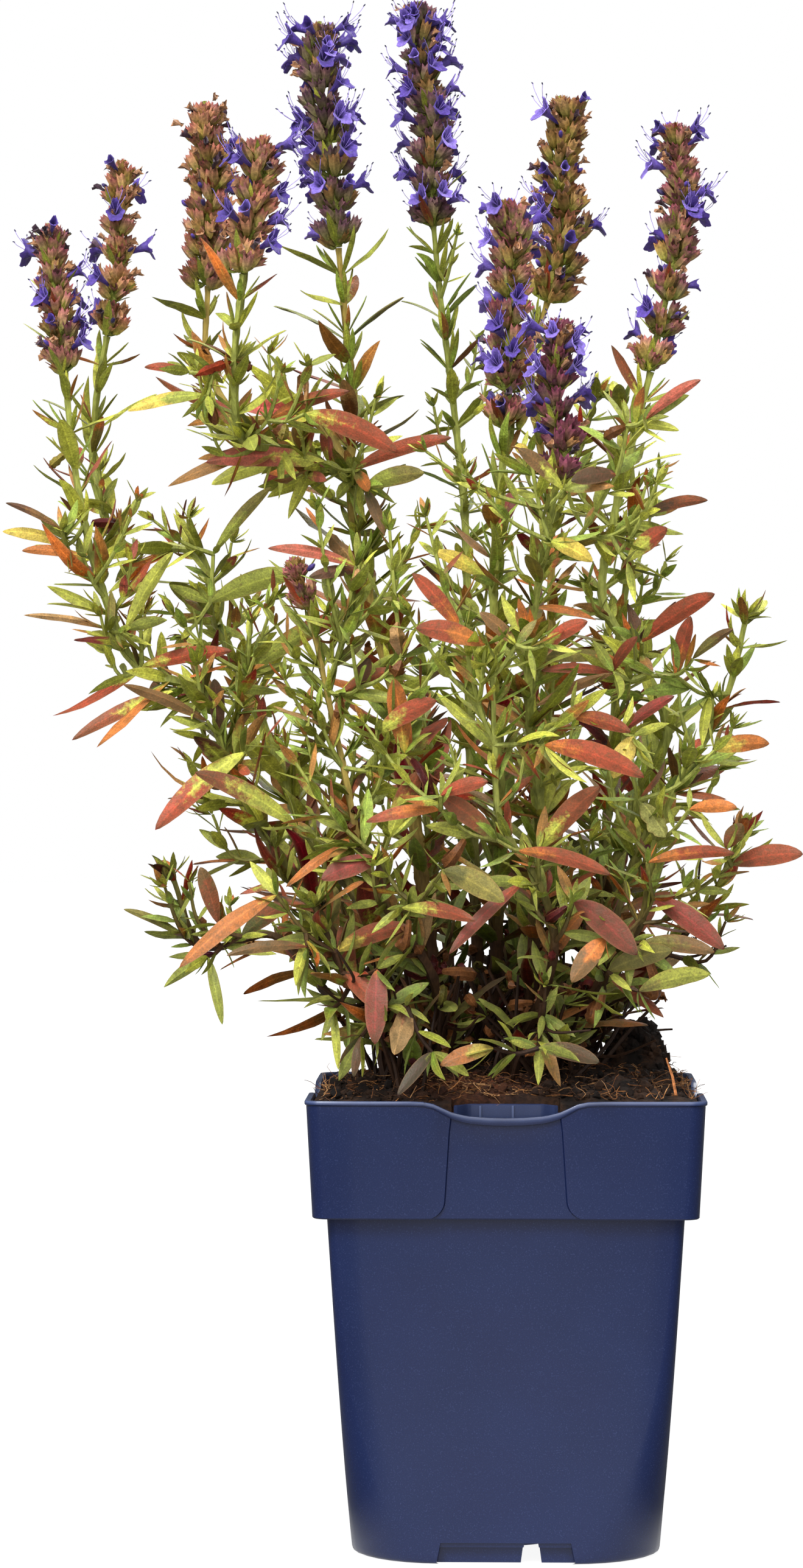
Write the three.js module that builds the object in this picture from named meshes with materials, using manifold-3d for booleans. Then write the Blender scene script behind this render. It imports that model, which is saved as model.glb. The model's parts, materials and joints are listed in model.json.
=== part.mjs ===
// A potted hyssop in flower: a square nursery pot, its soil, leafy woody stems and flower spikes.
// Millimetres, +Z up. The origin is the middle of the pot's foot, and the front of the pot faces -Y.

import * as THREE from 'three';
import Module from 'manifold-3d';

const wasm = await Module();
wasm.setup();

// The pot's driving sizes.
const POT_HEIGHT = 128.1;
const RIM_WIDTH = 110;
const COLLAR_TOP_WIDTH = 109.2;
const COLLAR_BOTTOM_WIDTH = 105.8;
const COLLAR_HEIGHT = 32.4;
const BODY_TOP_WIDTH = 98;
const FOOT_WIDTH = 86;
const WALL = 1.3;
const LIP_HEIGHT = 1.6;
const FLOOR_UNDERSIDE = 4.6;
const FLOOR_TOP = 6.2;
const COLLAR_BOTTOM = POT_HEIGHT - COLLAR_HEIGHT;
const COLLAR_CORNER = 4.5;
// The dip in the middle of each side of the rim: how far from the middle, and how deep.
const DIP_DEPTH = 4.5;
const DIP = [[21.8, -0.1], [19.5, 0.75], [17.4, 1.75], [14.6, 3], [10.6, 3.95], [5, 4.4], [0, DIP_DEPTH]];
const PANEL = { top: 29.3, bottom: 33.5, recess: 0.7, corner: 5 };
const LABEL_TAB = { width: 22, inward: 5, drop: 1.1, height: 20, plate: 1.2 };
const FOOT_NOTCH = { width: 38, height: 5.9, depth: 3 };
const DRAIN = { width: 4.6, length: 12, shift: 7 };
const FOOT_PAD_RADIUS = 15;

// The soil's driving sizes.
const SOIL_GAP = 0.35;
const SOIL_EDGE = 126.2;
const SOIL_MOUND = 7.5;
const SOIL_LUMP = { x: 38, y: 26, height: 13, radius: 8.5 };
const STEM_HOLE = { clearance: 0.35, depth: 11 };

// Growth sizes.
const NODE_GAP = 0.35;
const LEAF_THICKNESS = 0.95;
const PAIR_SPACING = 26;
const WHORL_SPACING = 7.2;
const CALYCES_IN_WHORL = 5;
const STEM_SEGMENT = 22;
const WHORL_HEIGHT = 7.2;
const SPIKE_WAIST = 2.2;
const BARE_STEM = 1.4;
const TOLERANCE = 0.04;

const COLOURS = {
  pot: '#35406a',
  soil: '#2a1a10',
  greenStem: '#74883a',
  redLeafStem: '#93693a',
  brownSpike: '#8a6248',
  violetSpike: '#5d4a9c',
  purpleSpike: '#7a4a6c',
};

// Routes and leaves are given as they are seen from the front: across and down in a view 1319 wide and
// 2576 high, and a depth in millimetres behind the pot's middle. The eye stands 1245 mm in front of it.
const VIEW = { middle: 831, horizon: 1230, focalLength: 7200, distance: 1245, eyeHeight: 224 };

function seen(across, down, depth) {
  const scale = (VIEW.distance + depth) / VIEW.focalLength;
  const height = VIEW.eyeHeight - (down - VIEW.horizon) * scale;
  return new THREE.Vector3((across - VIEW.middle) * scale, depth, height);
}

// Each stem stands in the soil and rises through its points [across, down, depth]. A spike continues it.
// radius is given at the foot and at the top, bare is the share of its length below the lowest leaves, and
// leaf is the length of its leaves. A spike's reach is the distance from its middle to its calyx tips, and
// open says how much further apart its lowest whorls stand than the others.
const STEMS = [
  {
    name: 'far_left', radius: [1.9, 0.9], bare: 0.14, leaf: 21, colour: 'greenStem',
    route: [[640, 1750, -8], [596, 1620, -10], [520, 1500, -12], [452, 1398, -14], [396, 1295, -16],
      [357, 1205, -18], [335, 1135, -18], [262, 1128, -20], [205, 1065, -20], [168, 970, -20],
      [138, 860, -18], [117, 730, -15], [106, 612, -12]],
    spike: { route: [[105, 604, -12], [98, 540, -11], [88, 470, -10], [85, 430, -10], [78, 366, -9]],
      reach: 5.6, florets: 5, open: 0.1, colour: 'brownSpike' },
  },
  {
    name: 'left', radius: [1.9, 0.9], bare: 0.14, leaf: 20, colour: 'greenStem',
    route: [[668, 1750, 8], [640, 1600, 10], [606, 1505, 12], [547, 1421, 14], [484, 1337, 18],
      [454, 1248, 20], [421, 1168, 22], [395, 1105, 24], [360, 1030, 26], [345, 955, 28],
      [310, 897, 29], [240, 893, 30], [182, 893, 30], [165, 850, 28], [155, 780, 26], [154, 700, 24],
      [160, 640, 22], [175, 552, 22]],
    spike: { route: [[177, 544, 22], [188, 480, 22], [193, 420, 22], [190, 350, 22], [204, 262, 22]],
      reach: 5.4, florets: 7, open: 0.25, colour: 'brownSpike' },
  },
  {
    name: 'mid_left', radius: [2.3, 0.9], bare: 0.16, leaf: 22, colour: 'redLeafStem',
    route: [[735, 1750, -4], [712, 1600, 0], [690, 1420, 4], [665, 1235, 8], [640, 1095, 12],
      [605, 1000, 14], [588, 900, 16], [575, 790, 18], [582, 690, 20], [572, 570, 20], [560, 480, 20],
      [556, 408, 20]],
    spike: { route: [[556, 400, 20], [552, 350, 20], [545, 260, 20], [528, 180, 20], [524, 110, 20],
      [525, 36, 20]], reach: 7.4, florets: 14, open: 0.35, colour: 'violetSpike' },
    branches: [
      {
        name: 'brown', radius: [1.5, 1.0], leaf: 17,
        route: [[577, 772, 18], [545, 697, 22], [460, 684, 30], [400, 688, 36], [352, 655, 42],
          [340, 580, 45], [341, 470, 46]],
        spike: { route: [[341, 462, 46], [342, 400, 46], [345, 330, 46], [340, 250, 46],
          [336, 166, 46]], reach: 8.2, florets: 5, open: 0, colour: 'brownSpike' },
      },
      {
        name: 'second_brown', radius: [1.4, 0.9], leaf: 17,
        route: [[578, 792, 18], [530, 745, 10], [440, 740, -8], [395, 715, -18], [384, 640, -25],
          [392, 510, -30], [399, 450, -32]],
        spike: { route: [[400, 442, -32], [412, 370, -32], [425, 300, -32], [430, 222, -32]],
          reach: 7.0, florets: 8, open: 0.15, colour: 'violetSpike' },
      },
    ],
  },
  {
    name: 'tallest', radius: [1.8, 0.8], bare: 0.16, leaf: 15, colour: 'greenStem',
    route: [[790, 1750, 30], [785, 1600, 34], [778, 1400, 40], [772, 1200, 46], [768, 1000, 52],
      [765, 870, 58], [753, 740, 64], [742, 640, 66], [728, 528, 68], [714, 410, 70], [712, 372, 70]],
    spike: { route: [[711, 364, 70], [708, 300, 70], [706, 200, 70], [690, 90, 70], [687, 4, 70]],
      reach: 7.2, florets: 17, open: 0.2, colour: 'violetSpike' },
  },
  {
    name: 'mid_right', radius: [2.0, 1.0], bare: 0.16, leaf: 20, colour: 'greenStem',
    route: [[812, 1750, 4], [815, 1600, 2], [818, 1400, -4], [820, 1250, -8], [816, 1078, -14],
      [810, 940, -18], [818, 840, -20], [827, 740, -22], [832, 706, -23]],
    spike: { route: [[833, 698, -23], [836, 590, -24], [838, 470, -25], [842, 400, -25],
      [826, 330, -25]], reach: 7.4, florets: 9, open: 0.3, colour: 'purpleSpike' },
  },
  {
    name: 'dry', radius: [1.7, 0.9], bare: 0.16, leaf: 17, colour: 'redLeafStem',
    route: [[870, 1750, 24], [880, 1600, 28], [890, 1400, 34], [900, 1200, 40], [905, 1000, 44],
      [903, 850, 46], [896, 746, 48], [868, 700, 50], [866, 620, 50], [880, 550, 50], [899, 497, 50]],
    spike: { route: [[901, 489, 50], [918, 430, 50], [926, 350, 50], [918, 280, 50], [934, 206, 50],
      [917, 160, 50]], reach: 8.0, florets: 8, open: 0.1, colour: 'brownSpike' },
    branches: [
      {
        name: 'dry_side', radius: [1.2, 0.8], leaf: 15,
        route: [[903, 880, 46], [930, 800, 44], [955, 730, 42], [978, 655, 42]],
      },
    ],
  },
  {
    name: 'magenta', radius: [1.9, 0.9], bare: 0.16, leaf: 20, colour: 'greenStem',
    route: [[868, 1750, -12], [874, 1600, -20], [882, 1450, -30], [886, 1300, -38], [876, 1215, -42],
      [864, 1156, -46], [870, 1060, -50], [885, 960, -54], [900, 850, -58], [914, 797, -60]],
    spike: { route: [[915, 789, -60], [926, 757, -60], [916, 700, -60], [914, 620, -60],
      [920, 524, -60]], reach: 6.2, florets: 7, open: 0.2, colour: 'purpleSpike' },
  },
  {
    name: 'right', radius: [2.0, 1.0], bare: 0.16, leaf: 20, colour: 'greenStem',
    route: [[905, 1750, 8], [965, 1600, 8], [1005, 1450, 8], [1050, 1310, 8], [1085, 1230, 8],
      [1098, 1165, 8], [1072, 1102, 8], [1010, 1065, 10], [990, 1000, 12], [1004, 872, 14],
      [1030, 760, 14], [1054, 665, 14], [1068, 612, 14]],
    spike: { route: [[1070, 604, 14], [1084, 530, 14], [1108, 420, 14], [1118, 320, 14],
      [1108, 204, 14]], reach: 6.8, florets: 9, open: 0.4, colour: 'purpleSpike' },
  },
  {
    name: 'right_second', radius: [1.6, 0.8], bare: 0.16, leaf: 18, colour: 'greenStem',
    route: [[935, 1750, 22], [985, 1450, 30], [1005, 1250, 34], [1012, 1100, 34], [1022, 1000, 32],
      [1040, 860, 30], [1035, 760, 28], [1018, 672, 26]],
  },
  {
    name: 'right_shoot', radius: [1.6, 0.8], bare: 0.14, leaf: 17, colour: 'greenStem',
    route: [[935, 1750, -6], [985, 1600, -10], [1030, 1440, -12], [1072, 1353, -14],
      [1135, 1255, -16], [1180, 1175, -18], [1208, 1096, -20], [1224, 1018, -20]],
  },
  {
    name: 'front_shoot', radius: [1.5, 0.8], bare: 0.14, leaf: 15, colour: 'greenStem',
    route: [[842, 1750, -26], [884, 1660, -40], [908, 1560, -52], [920, 1482, -58], [884, 1449, -60],
      [838, 1403, -62], [815, 1300, -64], [812, 1180, -66], [808, 1100, -68]],
  },
  {
    name: 'bud', radius: [1.6, 0.8], bare: 0.12, leaf: 17, colour: 'redLeafStem',
    route: [[720, 1750, -24], [726, 1650, -34], [690, 1565, -42], [640, 1500, -48], [632, 1420, -50],
      [588, 1385, -50], [562, 1330, -50], [565, 1270, -50], [553, 1195, -50], [530, 1110, -50],
      [508, 1000, -50]],
    spike: { route: [[506, 992, -50], [490, 950, -50], [482, 914, -50]], reach: 4.4, florets: 0, open: 0,
      colour: 'purpleSpike' },
  },
  {
    name: 'low_left', radius: [1.4, 0.8], bare: 0.35, leaf: 16, colour: 'greenStem',
    route: [[655, 1750, -24], [589, 1673, -26], [505, 1606, -26], [454, 1541, -26], [412, 1528, -26],
      [379, 1545, -26], [345, 1560, -26], [311, 1533, -26], [296, 1490, -26], [282, 1440, -26]],
  },
  {
    name: 'low_front_left', radius: [1.4, 0.8], bare: 0.25, leaf: 20, colour: 'greenStem',
    route: [[690, 1750, -36], [625, 1680, -44], [562, 1600, -50], [530, 1550, -52], [517, 1490, -54]],
  },
  {
    name: 'low_right', radius: [1.5, 0.8], bare: 0.3, leaf: 17, colour: 'greenStem',
    route: [[905, 1750, 34], [985, 1675, 34], [1060, 1597, 32], [1120, 1540, 30], [1166, 1480, 28],
      [1190, 1435, 28], [1213, 1372, 28]],
  },
  {
    name: 'low_front_right', radius: [1.6, 0.8], bare: 0.2, leaf: 18, colour: 'greenStem',
    route: [[905, 1750, -24], [930, 1682, -32], [1004, 1590, -42], [1052, 1515, -50],
      [1064, 1430, -54], [1090, 1340, -58], [1128, 1252, -60]],
  },
  {
    name: 'back_left', radius: [1.6, 0.8], bare: 0.2, leaf: 20, colour: 'greenStem',
    route: [[760, 1742, 46], [735, 1560, 58], [705, 1380, 70], [690, 1230, 82], [700, 1110, 88]],
  },
  {
    name: 'back_right', radius: [1.6, 0.8], bare: 0.2, leaf: 20, colour: 'redLeafStem',
    route: [[850, 1742, 46], [865, 1560, 62], [890, 1400, 76], [878, 1280, 86], [868, 1180, 90]],
  },
  {
    name: 'back_low_left', radius: [1.4, 0.8], bare: 0.3, leaf: 18, colour: 'greenStem',
    route: [[700, 1742, 40], [625, 1600, 54], [560, 1480, 66], [520, 1380, 72], [515, 1290, 74]],
  },
  {
    name: 'back_low_right', radius: [1.4, 0.8], bare: 0.3, leaf: 18, colour: 'greenStem',
    route: [[965, 1742, 44], [1005, 1600, 58], [1045, 1480, 70], [1062, 1380, 76], [1040, 1300, 78]],
  },
];

// The large leaves that catch the eye: foot across and down, tip across and down, and width, all as seen.
const LARGE_LEAVES = [
  [235, 1108, 381, 1068, 26], [300, 1135, 118, 1217, 24], [360, 1205, 352, 1115, 26],
  [340, 1185, 202, 1131, 20], [402, 1236, 255, 1364, 36], [488, 1358, 320, 1269, 32],
  [405, 1108, 575, 1005, 34], [440, 690, 575, 643, 22], [500, 680, 655, 742, 40],
  [580, 772, 742, 720, 26], [545, 765, 338, 760, 34], [600, 800, 697, 777, 32],
  [590, 937, 535, 880, 26], [590, 940, 507, 950, 20], [585, 930, 440, 903, 20],
  [760, 1040, 677, 943, 26], [797, 1060, 683, 1032, 34], [665, 1240, 645, 1115, 36],
  [620, 1205, 717, 1150, 32], [560, 1140, 645, 1100, 22], [590, 1130, 605, 1080, 24],
  [660, 1080, 648, 1023, 26], [800, 945, 713, 908, 26], [848, 1060, 787, 1008, 24],
  [1054, 1055, 1173, 975, 32], [1109, 1110, 1132, 1012, 28], [1137, 1083, 1203, 1032, 18],
  [1013, 780, 937, 792, 28], [1060, 845, 1162, 821, 20], [1031, 922, 1095, 867, 30],
  [903, 890, 974, 922, 28], [1013, 1083, 875, 1087, 24], [1004, 1106, 889, 1104, 18],
  [994, 1106, 1047, 1046, 18], [1008, 1106, 884, 1165, 18], [894, 1060, 965, 1021, 24],
  [1022, 1202, 1107, 1143, 20], [939, 1177, 1036, 1202, 26], [1173, 1233, 1263, 1220, 30],
  [894, 1224, 1059, 1275, 37], [884, 1398, 985, 1291, 36], [816, 1380, 719, 1309, 34],
  [857, 1403, 1004, 1435, 26], [860, 1450, 738, 1568, 22], [942, 1481, 1047, 1568, 44],
  [994, 1541, 939, 1614, 34], [1072, 1476, 1189, 1559, 36], [1052, 1550, 1173, 1564, 28],
  [999, 1596, 1105, 1559, 36], [1049, 1628, 1166, 1598, 32], [1201, 1421, 1318, 1403, 34],
  [1063, 1417, 1208, 1401, 22], [1132, 1330, 1210, 1327, 22], [1192, 1394, 1219, 1353, 30],
  [724, 1330, 602, 1353, 22], [724, 1307, 802, 1284, 24], [728, 1430, 829, 1481, 40],
  [660, 1492, 783, 1513, 24], [551, 1564, 669, 1520, 32], [669, 1655, 650, 1733, 36],
  [555, 1589, 627, 1661, 32], [619, 1593, 617, 1716, 38], [884, 1722, 985, 1745, 28],
  [811, 1722, 724, 1752, 28], [710, 1729, 770, 1768, 18], [724, 1724, 653, 1800, 20],
  [593, 1703, 581, 1770, 16], [623, 1412, 528, 1446, 34], [572, 1387, 471, 1459, 16],
  [396, 1539, 476, 1482, 30], [454, 1471, 297, 1593, 30], [358, 1518, 328, 1425, 28],
  [505, 1556, 372, 1570, 18], [341, 1572, 365, 1684, 18], [303, 1541, 202, 1495, 14],
  [547, 1657, 556, 1758, 14], [110, 895, 3, 875, 22], [135, 915, 35, 905, 18], [100, 870, 8, 826, 12],
  [180, 1035, 40, 1015, 12], [205, 1035, 282, 905, 24], [345, 990, 490, 940, 38],
  [350, 910, 445, 800, 20], [310, 612, 237, 604, 16], [340, 650, 210, 677, 22],
  [640, 1375, 690, 1265, 34], [1040, 1210, 1008, 1279, 34], [870, 745, 845, 735, 18],
  [925, 805, 850, 738, 24], [1030, 700, 1115, 708, 16], [1060, 690, 1150, 625, 18],
];

// A repeatable draw of numbers between 0 and 1.
function seededDraw(seed) {
  let state = seed;
  return () => {
    state = (state + 0x6d2b79f5) | 0;
    let mixed = Math.imul(state ^ (state >>> 15), 1 | state);
    mixed = (mixed + Math.imul(mixed ^ (mixed >>> 7), 61 | mixed)) ^ mixed;
    return ((mixed ^ (mixed >>> 14)) >>> 0) / 4294967296;
  };
}

// A closed skin over rings of points. Rings hold equal counts, or one point where the skin comes to a tip.
function skin(rings) {
  const positions = [];
  const starts = [];
  for (const ring of rings) {
    starts.push(positions.length / 3);
    ring.forEach((point) => positions.push(point.x, point.y, point.z));
  }
  const triangles = [];
  const fan = (ring, start, turned) => {
    for (let i = 1; i < ring.length - 1; i += 1) {
      triangles.push(start, start + (turned ? i + 1 : i), start + (turned ? i : i + 1));
    }
  };
  fan(rings[0], starts[0], true);
  for (let level = 0; level < rings.length - 1; level += 1) {
    const [below, above] = [rings[level], rings[level + 1]];
    const [low, high] = [starts[level], starts[level + 1]];
    const count = Math.max(below.length, above.length);
    for (let i = 0; i < count; i += 1) {
      const next = (i + 1) % count;
      if (below.length > 1) triangles.push(low + i, low + next, high + (above.length > 1 ? next : 0));
      if (above.length > 1) triangles.push(low + (below.length > 1 ? i : 0), high + next, high + i);
    }
  }
  const top = rings.length - 1;
  fan(rings[top], starts[top], false);
  return { positions, triangles };
}

function signedVolume({ positions, triangles }) {
  const corner = (index) => new THREE.Vector3().fromArray(positions, index * 3);
  let volume = 0;
  for (let i = 0; i < triangles.length; i += 3) {
    const [a, b, c] = [corner(triangles[i]), corner(triangles[i + 1]), corner(triangles[i + 2])];
    volume += a.dot(b.cross(c)) / 6;
  }
  return volume;
}

function solid(rings) {
  const shape = skin(rings);
  if (signedVolume(shape) < 0) shape.triangles.reverse();
  return new wasm.Manifold(new wasm.Mesh({
    numProp: 3,
    vertProperties: new Float32Array(shape.positions),
    triVerts: new Uint32Array(shape.triangles),
  }));
}

// Joins solids and clears away edges shorter than the tolerance.
function joined(solids) {
  return wasm.Manifold.union(solids).simplify(TOLERANCE);
}

// The largest piece of a solid, so that no loose scrap stays beside it.
function largestPiece(whole) {
  const pieces = whole.decompose();
  pieces.sort((a, b) => b.volume() - a.volume());
  return pieces[0];
}

function geometryOf(manifold) {
  const mesh = manifold.getMesh();
  const geometry = new THREE.BufferGeometry();
  geometry.setAttribute('position', new THREE.BufferAttribute(mesh.vertProperties, 3));
  geometry.setIndex(new THREE.BufferAttribute(mesh.triVerts, 1));
  geometry.computeVertexNormals();
  return geometry;
}

const group = new THREE.Group();

function addNode(name, manifold, colour, roughness) {
  const material = new THREE.MeshStandardMaterial({ color: colour, roughness, metalness: 0 });
  const mesh = new THREE.Mesh(geometryOf(manifold), material);
  mesh.name = name;
  group.add(mesh);
}

// The pot.

function roundedSquare(half, radius, height, steps = 5) {
  const points = [];
  for (let corner = 0; corner < 4; corner += 1) {
    const turn = corner * Math.PI / 2;
    for (let step = 0; step <= steps; step += 1) {
      const angle = (step / steps) * Math.PI / 2;
      const along = half - radius + radius * Math.cos(angle);
      const across = half - radius + radius * Math.sin(angle);
      points.push(new THREE.Vector3(
        along * Math.cos(turn) - across * Math.sin(turn),
        along * Math.sin(turn) + across * Math.cos(turn),
        height,
      ));
    }
  }
  return points;
}

function bodyHalf(height) {
  return (FOOT_WIDTH + (BODY_TOP_WIDTH - FOOT_WIDTH) * height / COLLAR_BOTTOM) / 2;
}

// The body's corners are tight under the collar and open into a wide round at the foot.
function bodyCorner(height) {
  const down = Math.max(0, 1 - height / COLLAR_BOTTOM);
  return 3 + 21 * down ** 3.3;
}

function collarHalf(height) {
  const up = (height - COLLAR_BOTTOM) / COLLAR_HEIGHT;
  return (COLLAR_BOTTOM_WIDTH + (COLLAR_TOP_WIDTH - COLLAR_BOTTOM_WIDTH) * up) / 2;
}

function bodyRing(height, inset, steps) {
  return roundedSquare(bodyHalf(height) - inset, bodyCorner(height) - inset * 0.5, height, steps);
}

function collarRing(height, inset, steps) {
  return roundedSquare(collarHalf(height) - inset, COLLAR_CORNER - inset * 0.5, height, steps);
}

const BODY_LEVELS = [12, 28, 52];
const INSIDE_STEPS = 2;

function potOutside() {
  const lipBottom = POT_HEIGHT - LIP_HEIGHT;
  const foot = roundedSquare(bodyHalf(0) - 0.8, bodyCorner(0), 0);
  return solid([
    foot,
    bodyRing(1, 0),
    ...BODY_LEVELS.map((height) => bodyRing(height, 0)),
    bodyRing(COLLAR_BOTTOM, 0),
    collarRing(COLLAR_BOTTOM + 0.01, 0),
    collarRing(lipBottom, 0),
    roundedSquare(RIM_WIDTH / 2, COLLAR_CORNER + 0.3, lipBottom + 0.4),
    roundedSquare(RIM_WIDTH / 2, COLLAR_CORNER + 0.3, POT_HEIGHT),
  ]);
}

function potInside(inset, bottom, top) {
  const shelf = COLLAR_BOTTOM + WALL;
  return solid([
    ...[bottom, ...BODY_LEVELS, shelf].map((height) => bodyRing(height, inset, INSIDE_STEPS)),
    ...[shelf + 0.01, top].map((height) => collarRing(height, inset, INSIDE_STEPS)),
  ]);
}

// A straight prism with the outline [x, z] points, running from y = from to y = to.
function prismAlongY(outline, from, to) {
  const ring = (y) => outline.map(([x, z]) => new THREE.Vector3(x, y, z));
  return solid([ring(from), ring(to)]);
}

function fourSides(solidForFront) {
  return [0, 90, 180, 270].map((turn) => solidForFront.rotate([0, 0, turn]));
}

function dipCutter() {
  const left = DIP.map(([across, depth]) => [-across, POT_HEIGHT - depth]);
  const right = left.slice(0, -1).reverse().map(([x, z]) => [-x, z]);
  const half = DIP[0][0] + 0.7;
  const outline = [[-half, POT_HEIGHT + 5], ...left, ...right, [half, POT_HEIGHT + 5]];
  return prismAlongY(outline, -RIM_WIDTH, -RIM_WIDTH / 2 + 4);
}

// The middle panel of a side lies a little behind the corner panels, whose lower inner corners are round.
function panelCutter() {
  const top = POT_HEIGHT - DIP_DEPTH - LIP_HEIGHT;
  const outline = [[-PANEL.top / 2, top]];
  for (let step = 0; step <= 2; step += 1) {
    const angle = (step / 2) * Math.PI / 2;
    outline.push([
      -PANEL.bottom / 2 - PANEL.corner * (1 - Math.cos(angle)),
      COLLAR_BOTTOM + PANEL.corner * (1 - Math.sin(angle)),
    ]);
  }
  const mirrored = outline.map(([x, z]) => [-x, z]).reverse();
  const whole = [...outline, ...mirrored];
  const face = (inset) => whole.map(([x, z]) => new THREE.Vector3(x, -collarHalf(z) + inset, z));
  return solid([face(PANEL.recess), face(-2)]);
}

function notchCutter() {
  const half = FOOT_NOTCH.width / 2;
  const outline = [[-half, -1], [-half + 1.5, FOOT_NOTCH.height], [half - 1.5, FOOT_NOTCH.height], [half, -1]];
  return prismAlongY(outline, -FOOT_WIDTH / 2 - 2, -FOOT_WIDTH / 2 + FOOT_NOTCH.depth);
}

// A slot right of the middle of each side runs through the foot notch's wall, and on through the floor.
function drainCutter() {
  const [left, right] = [DRAIN.shift - DRAIN.width / 2, DRAIN.shift + DRAIN.width / 2];
  const slot = (front, top) => prismAlongY(
    [[left, -1], [left, top], [right, top], [right, -1]], front, -FOOT_WIDTH / 2 + DRAIN.length,
  );
  return joined([
    slot(-FOOT_WIDTH / 2 - 2, FOOT_NOTCH.height),
    slot(-FOOT_WIDTH / 2 + WALL + 0.4, FLOOR_TOP + 1),
  ]);
}

// The foot stands on its outer skirt, on a round pad in the middle and on four ribs between them.
function footPocket() {
  const skirt = FOOT_NOTCH.depth + WALL;
  const outer = solid([
    roundedSquare(bodyHalf(0) - skirt, bodyCorner(0) - skirt, -1),
    roundedSquare(bodyHalf(0) - skirt, bodyCorner(0) - skirt, FLOOR_UNDERSIDE),
  ]);
  const circle = (height) => Array.from({ length: 14 }, (unused, i) => {
    const angle = (i / 14) * 2 * Math.PI;
    return new THREE.Vector3(FOOT_PAD_RADIUS * Math.cos(angle), FOOT_PAD_RADIUS * Math.sin(angle), height);
  });
  const pad = solid([circle(-2), circle(FLOOR_UNDERSIDE + 1)]);
  const rib = prismAlongY([[-0.8, -2], [-0.8, 9], [0.8, 9], [0.8, -2]], -FOOT_WIDTH, FOOT_WIDTH);
  const ribs = joined([rib.rotate([0, 0, 45]), rib.rotate([0, 0, -45])]);
  return outer.subtract(joined([pad, ribs]));
}

// A pocket for a plant label stands behind the front dip: a thin wall bent back to the pot at both ends.
function labelTab() {
  const plate = -collarHalf(POT_HEIGHT - 10) + WALL;
  const top = POT_HEIGHT - LABEL_TAB.drop;
  const low = top - LABEL_TAB.height;
  const ring = (half, inward, z) => {
    const end = -collarHalf(z) + WALL - 0.3;
    return [
      [-half - 2.5, end], [-half, plate + inward * 0.7], [-half + 2.5, plate + inward],
      [half - 2.5, plate + inward], [half, plate + inward * 0.7], [half + 2.5, end],
    ].map(([x, y]) => new THREE.Vector3(x, y, z));
  };
  const block = (thinner, from, to) => solid([from, to].map(
    (z) => ring(LABEL_TAB.width / 2 - thinner, LABEL_TAB.inward - thinner, z),
  ));
  return block(0, low, top).subtract(block(LABEL_TAB.plate, low - 1, top + 1));
}

function buildPot() {
  const shell = potOutside().subtract(potInside(WALL, FLOOR_TOP, POT_HEIGHT + 3));
  const cutters = joined([
    ...fourSides(dipCutter()), ...fourSides(panelCutter()), ...fourSides(notchCutter()),
    ...fourSides(drainCutter()), footPocket(),
  ]);
  return largestPiece(joined([shell.subtract(cutters), labelTab()]));
}

// The soil.

function soilSurface(x, y) {
  const half = RIM_WIDTH / 2;
  const edge = Math.max(Math.abs(x), Math.abs(y)) / half;
  const mound = SOIL_MOUND * (1 - edge ** 2.6);
  const ripple = 0.9 * Math.sin(x * 0.21 + 1.3) * Math.cos(y * 0.17) + 0.7 * Math.sin(x * 0.43 - y * 0.38);
  const backLeft = -3.4 * Math.exp(-((x + 44) ** 2 + (y - 44) ** 2) / 420);
  const fromLump = Math.hypot(x - SOIL_LUMP.x, y - SOIL_LUMP.y) / SOIL_LUMP.radius;
  const lump = SOIL_LUMP.height * Math.exp(-(fromLump ** 3.2));
  return SOIL_EDGE + mound + ripple * (1 - edge ** 4) + backLeft + lump;
}

function soilBlock() {
  const inset = WALL + SOIL_GAP;
  const shelf = COLLAR_BOTTOM + WALL + SOIL_GAP;
  const rings = [
    ...[FLOOR_TOP + SOIL_GAP, ...BODY_LEVELS, shelf].map((height) => bodyRing(height, inset, INSIDE_STEPS)),
    collarRing(shelf + 0.01, inset, INSIDE_STEPS),
  ];
  for (const share of [1, 0.92, 0.78, 0.62, 0.42, 0.2]) {
    rings.push(collarRing(POT_HEIGHT - 3, inset, INSIDE_STEPS).map((point) => {
      const [x, y] = [point.x * share, point.y * share];
      return new THREE.Vector3(x, y, soilSurface(x, y));
    }));
  }
  rings.push([new THREE.Vector3(0, 0, soilSurface(0, 0))]);
  return solid(rings);
}

function labelTabRoom() {
  const half = LABEL_TAB.width / 2 + 3.5;
  const low = POT_HEIGHT - LABEL_TAB.drop - LABEL_TAB.height - 0.5;
  const outline = [[-half, low], [-half, POT_HEIGHT + 4], [half, POT_HEIGHT + 4], [half, low]];
  const inner = -collarHalf(POT_HEIGHT - 10) + WALL + LABEL_TAB.inward + 0.45;
  return prismAlongY(outline, -RIM_WIDTH, inner);
}

// Growth. A route is walked in even steps, so that leaves and whorls can be set out along it.

function routeCurve(route) {
  const points = route.map(([across, down, depth]) => seen(across, down, depth));
  return new THREE.CatmullRomCurve3(points, false, 'catmullrom', 0.5);
}

function walk(curve, step, open) {
  const fine = 14 * (curve.points.length - 1);
  return evenSteps(Array.from({ length: fine + 1 }, (unused, i) => curve.getPoint(i / fine)), step, open);
}

// The steps are even, or the first is longer than the last by twice the share open.
function evenSteps(points, step, open = 0) {
  const line = [];
  let length = 0;
  points.forEach((point, i) => {
    if (i > 0) length += point.distanceTo(points[i - 1]);
    line.push({ point, length });
  });
  const count = Math.max(2, Math.round(length / step));
  return Array.from({ length: count + 1 }, (unused, i) => {
    const share = i / count;
    return pointAt(line, length * (share + open * (share - share ** 2)));
  });
}

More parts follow.
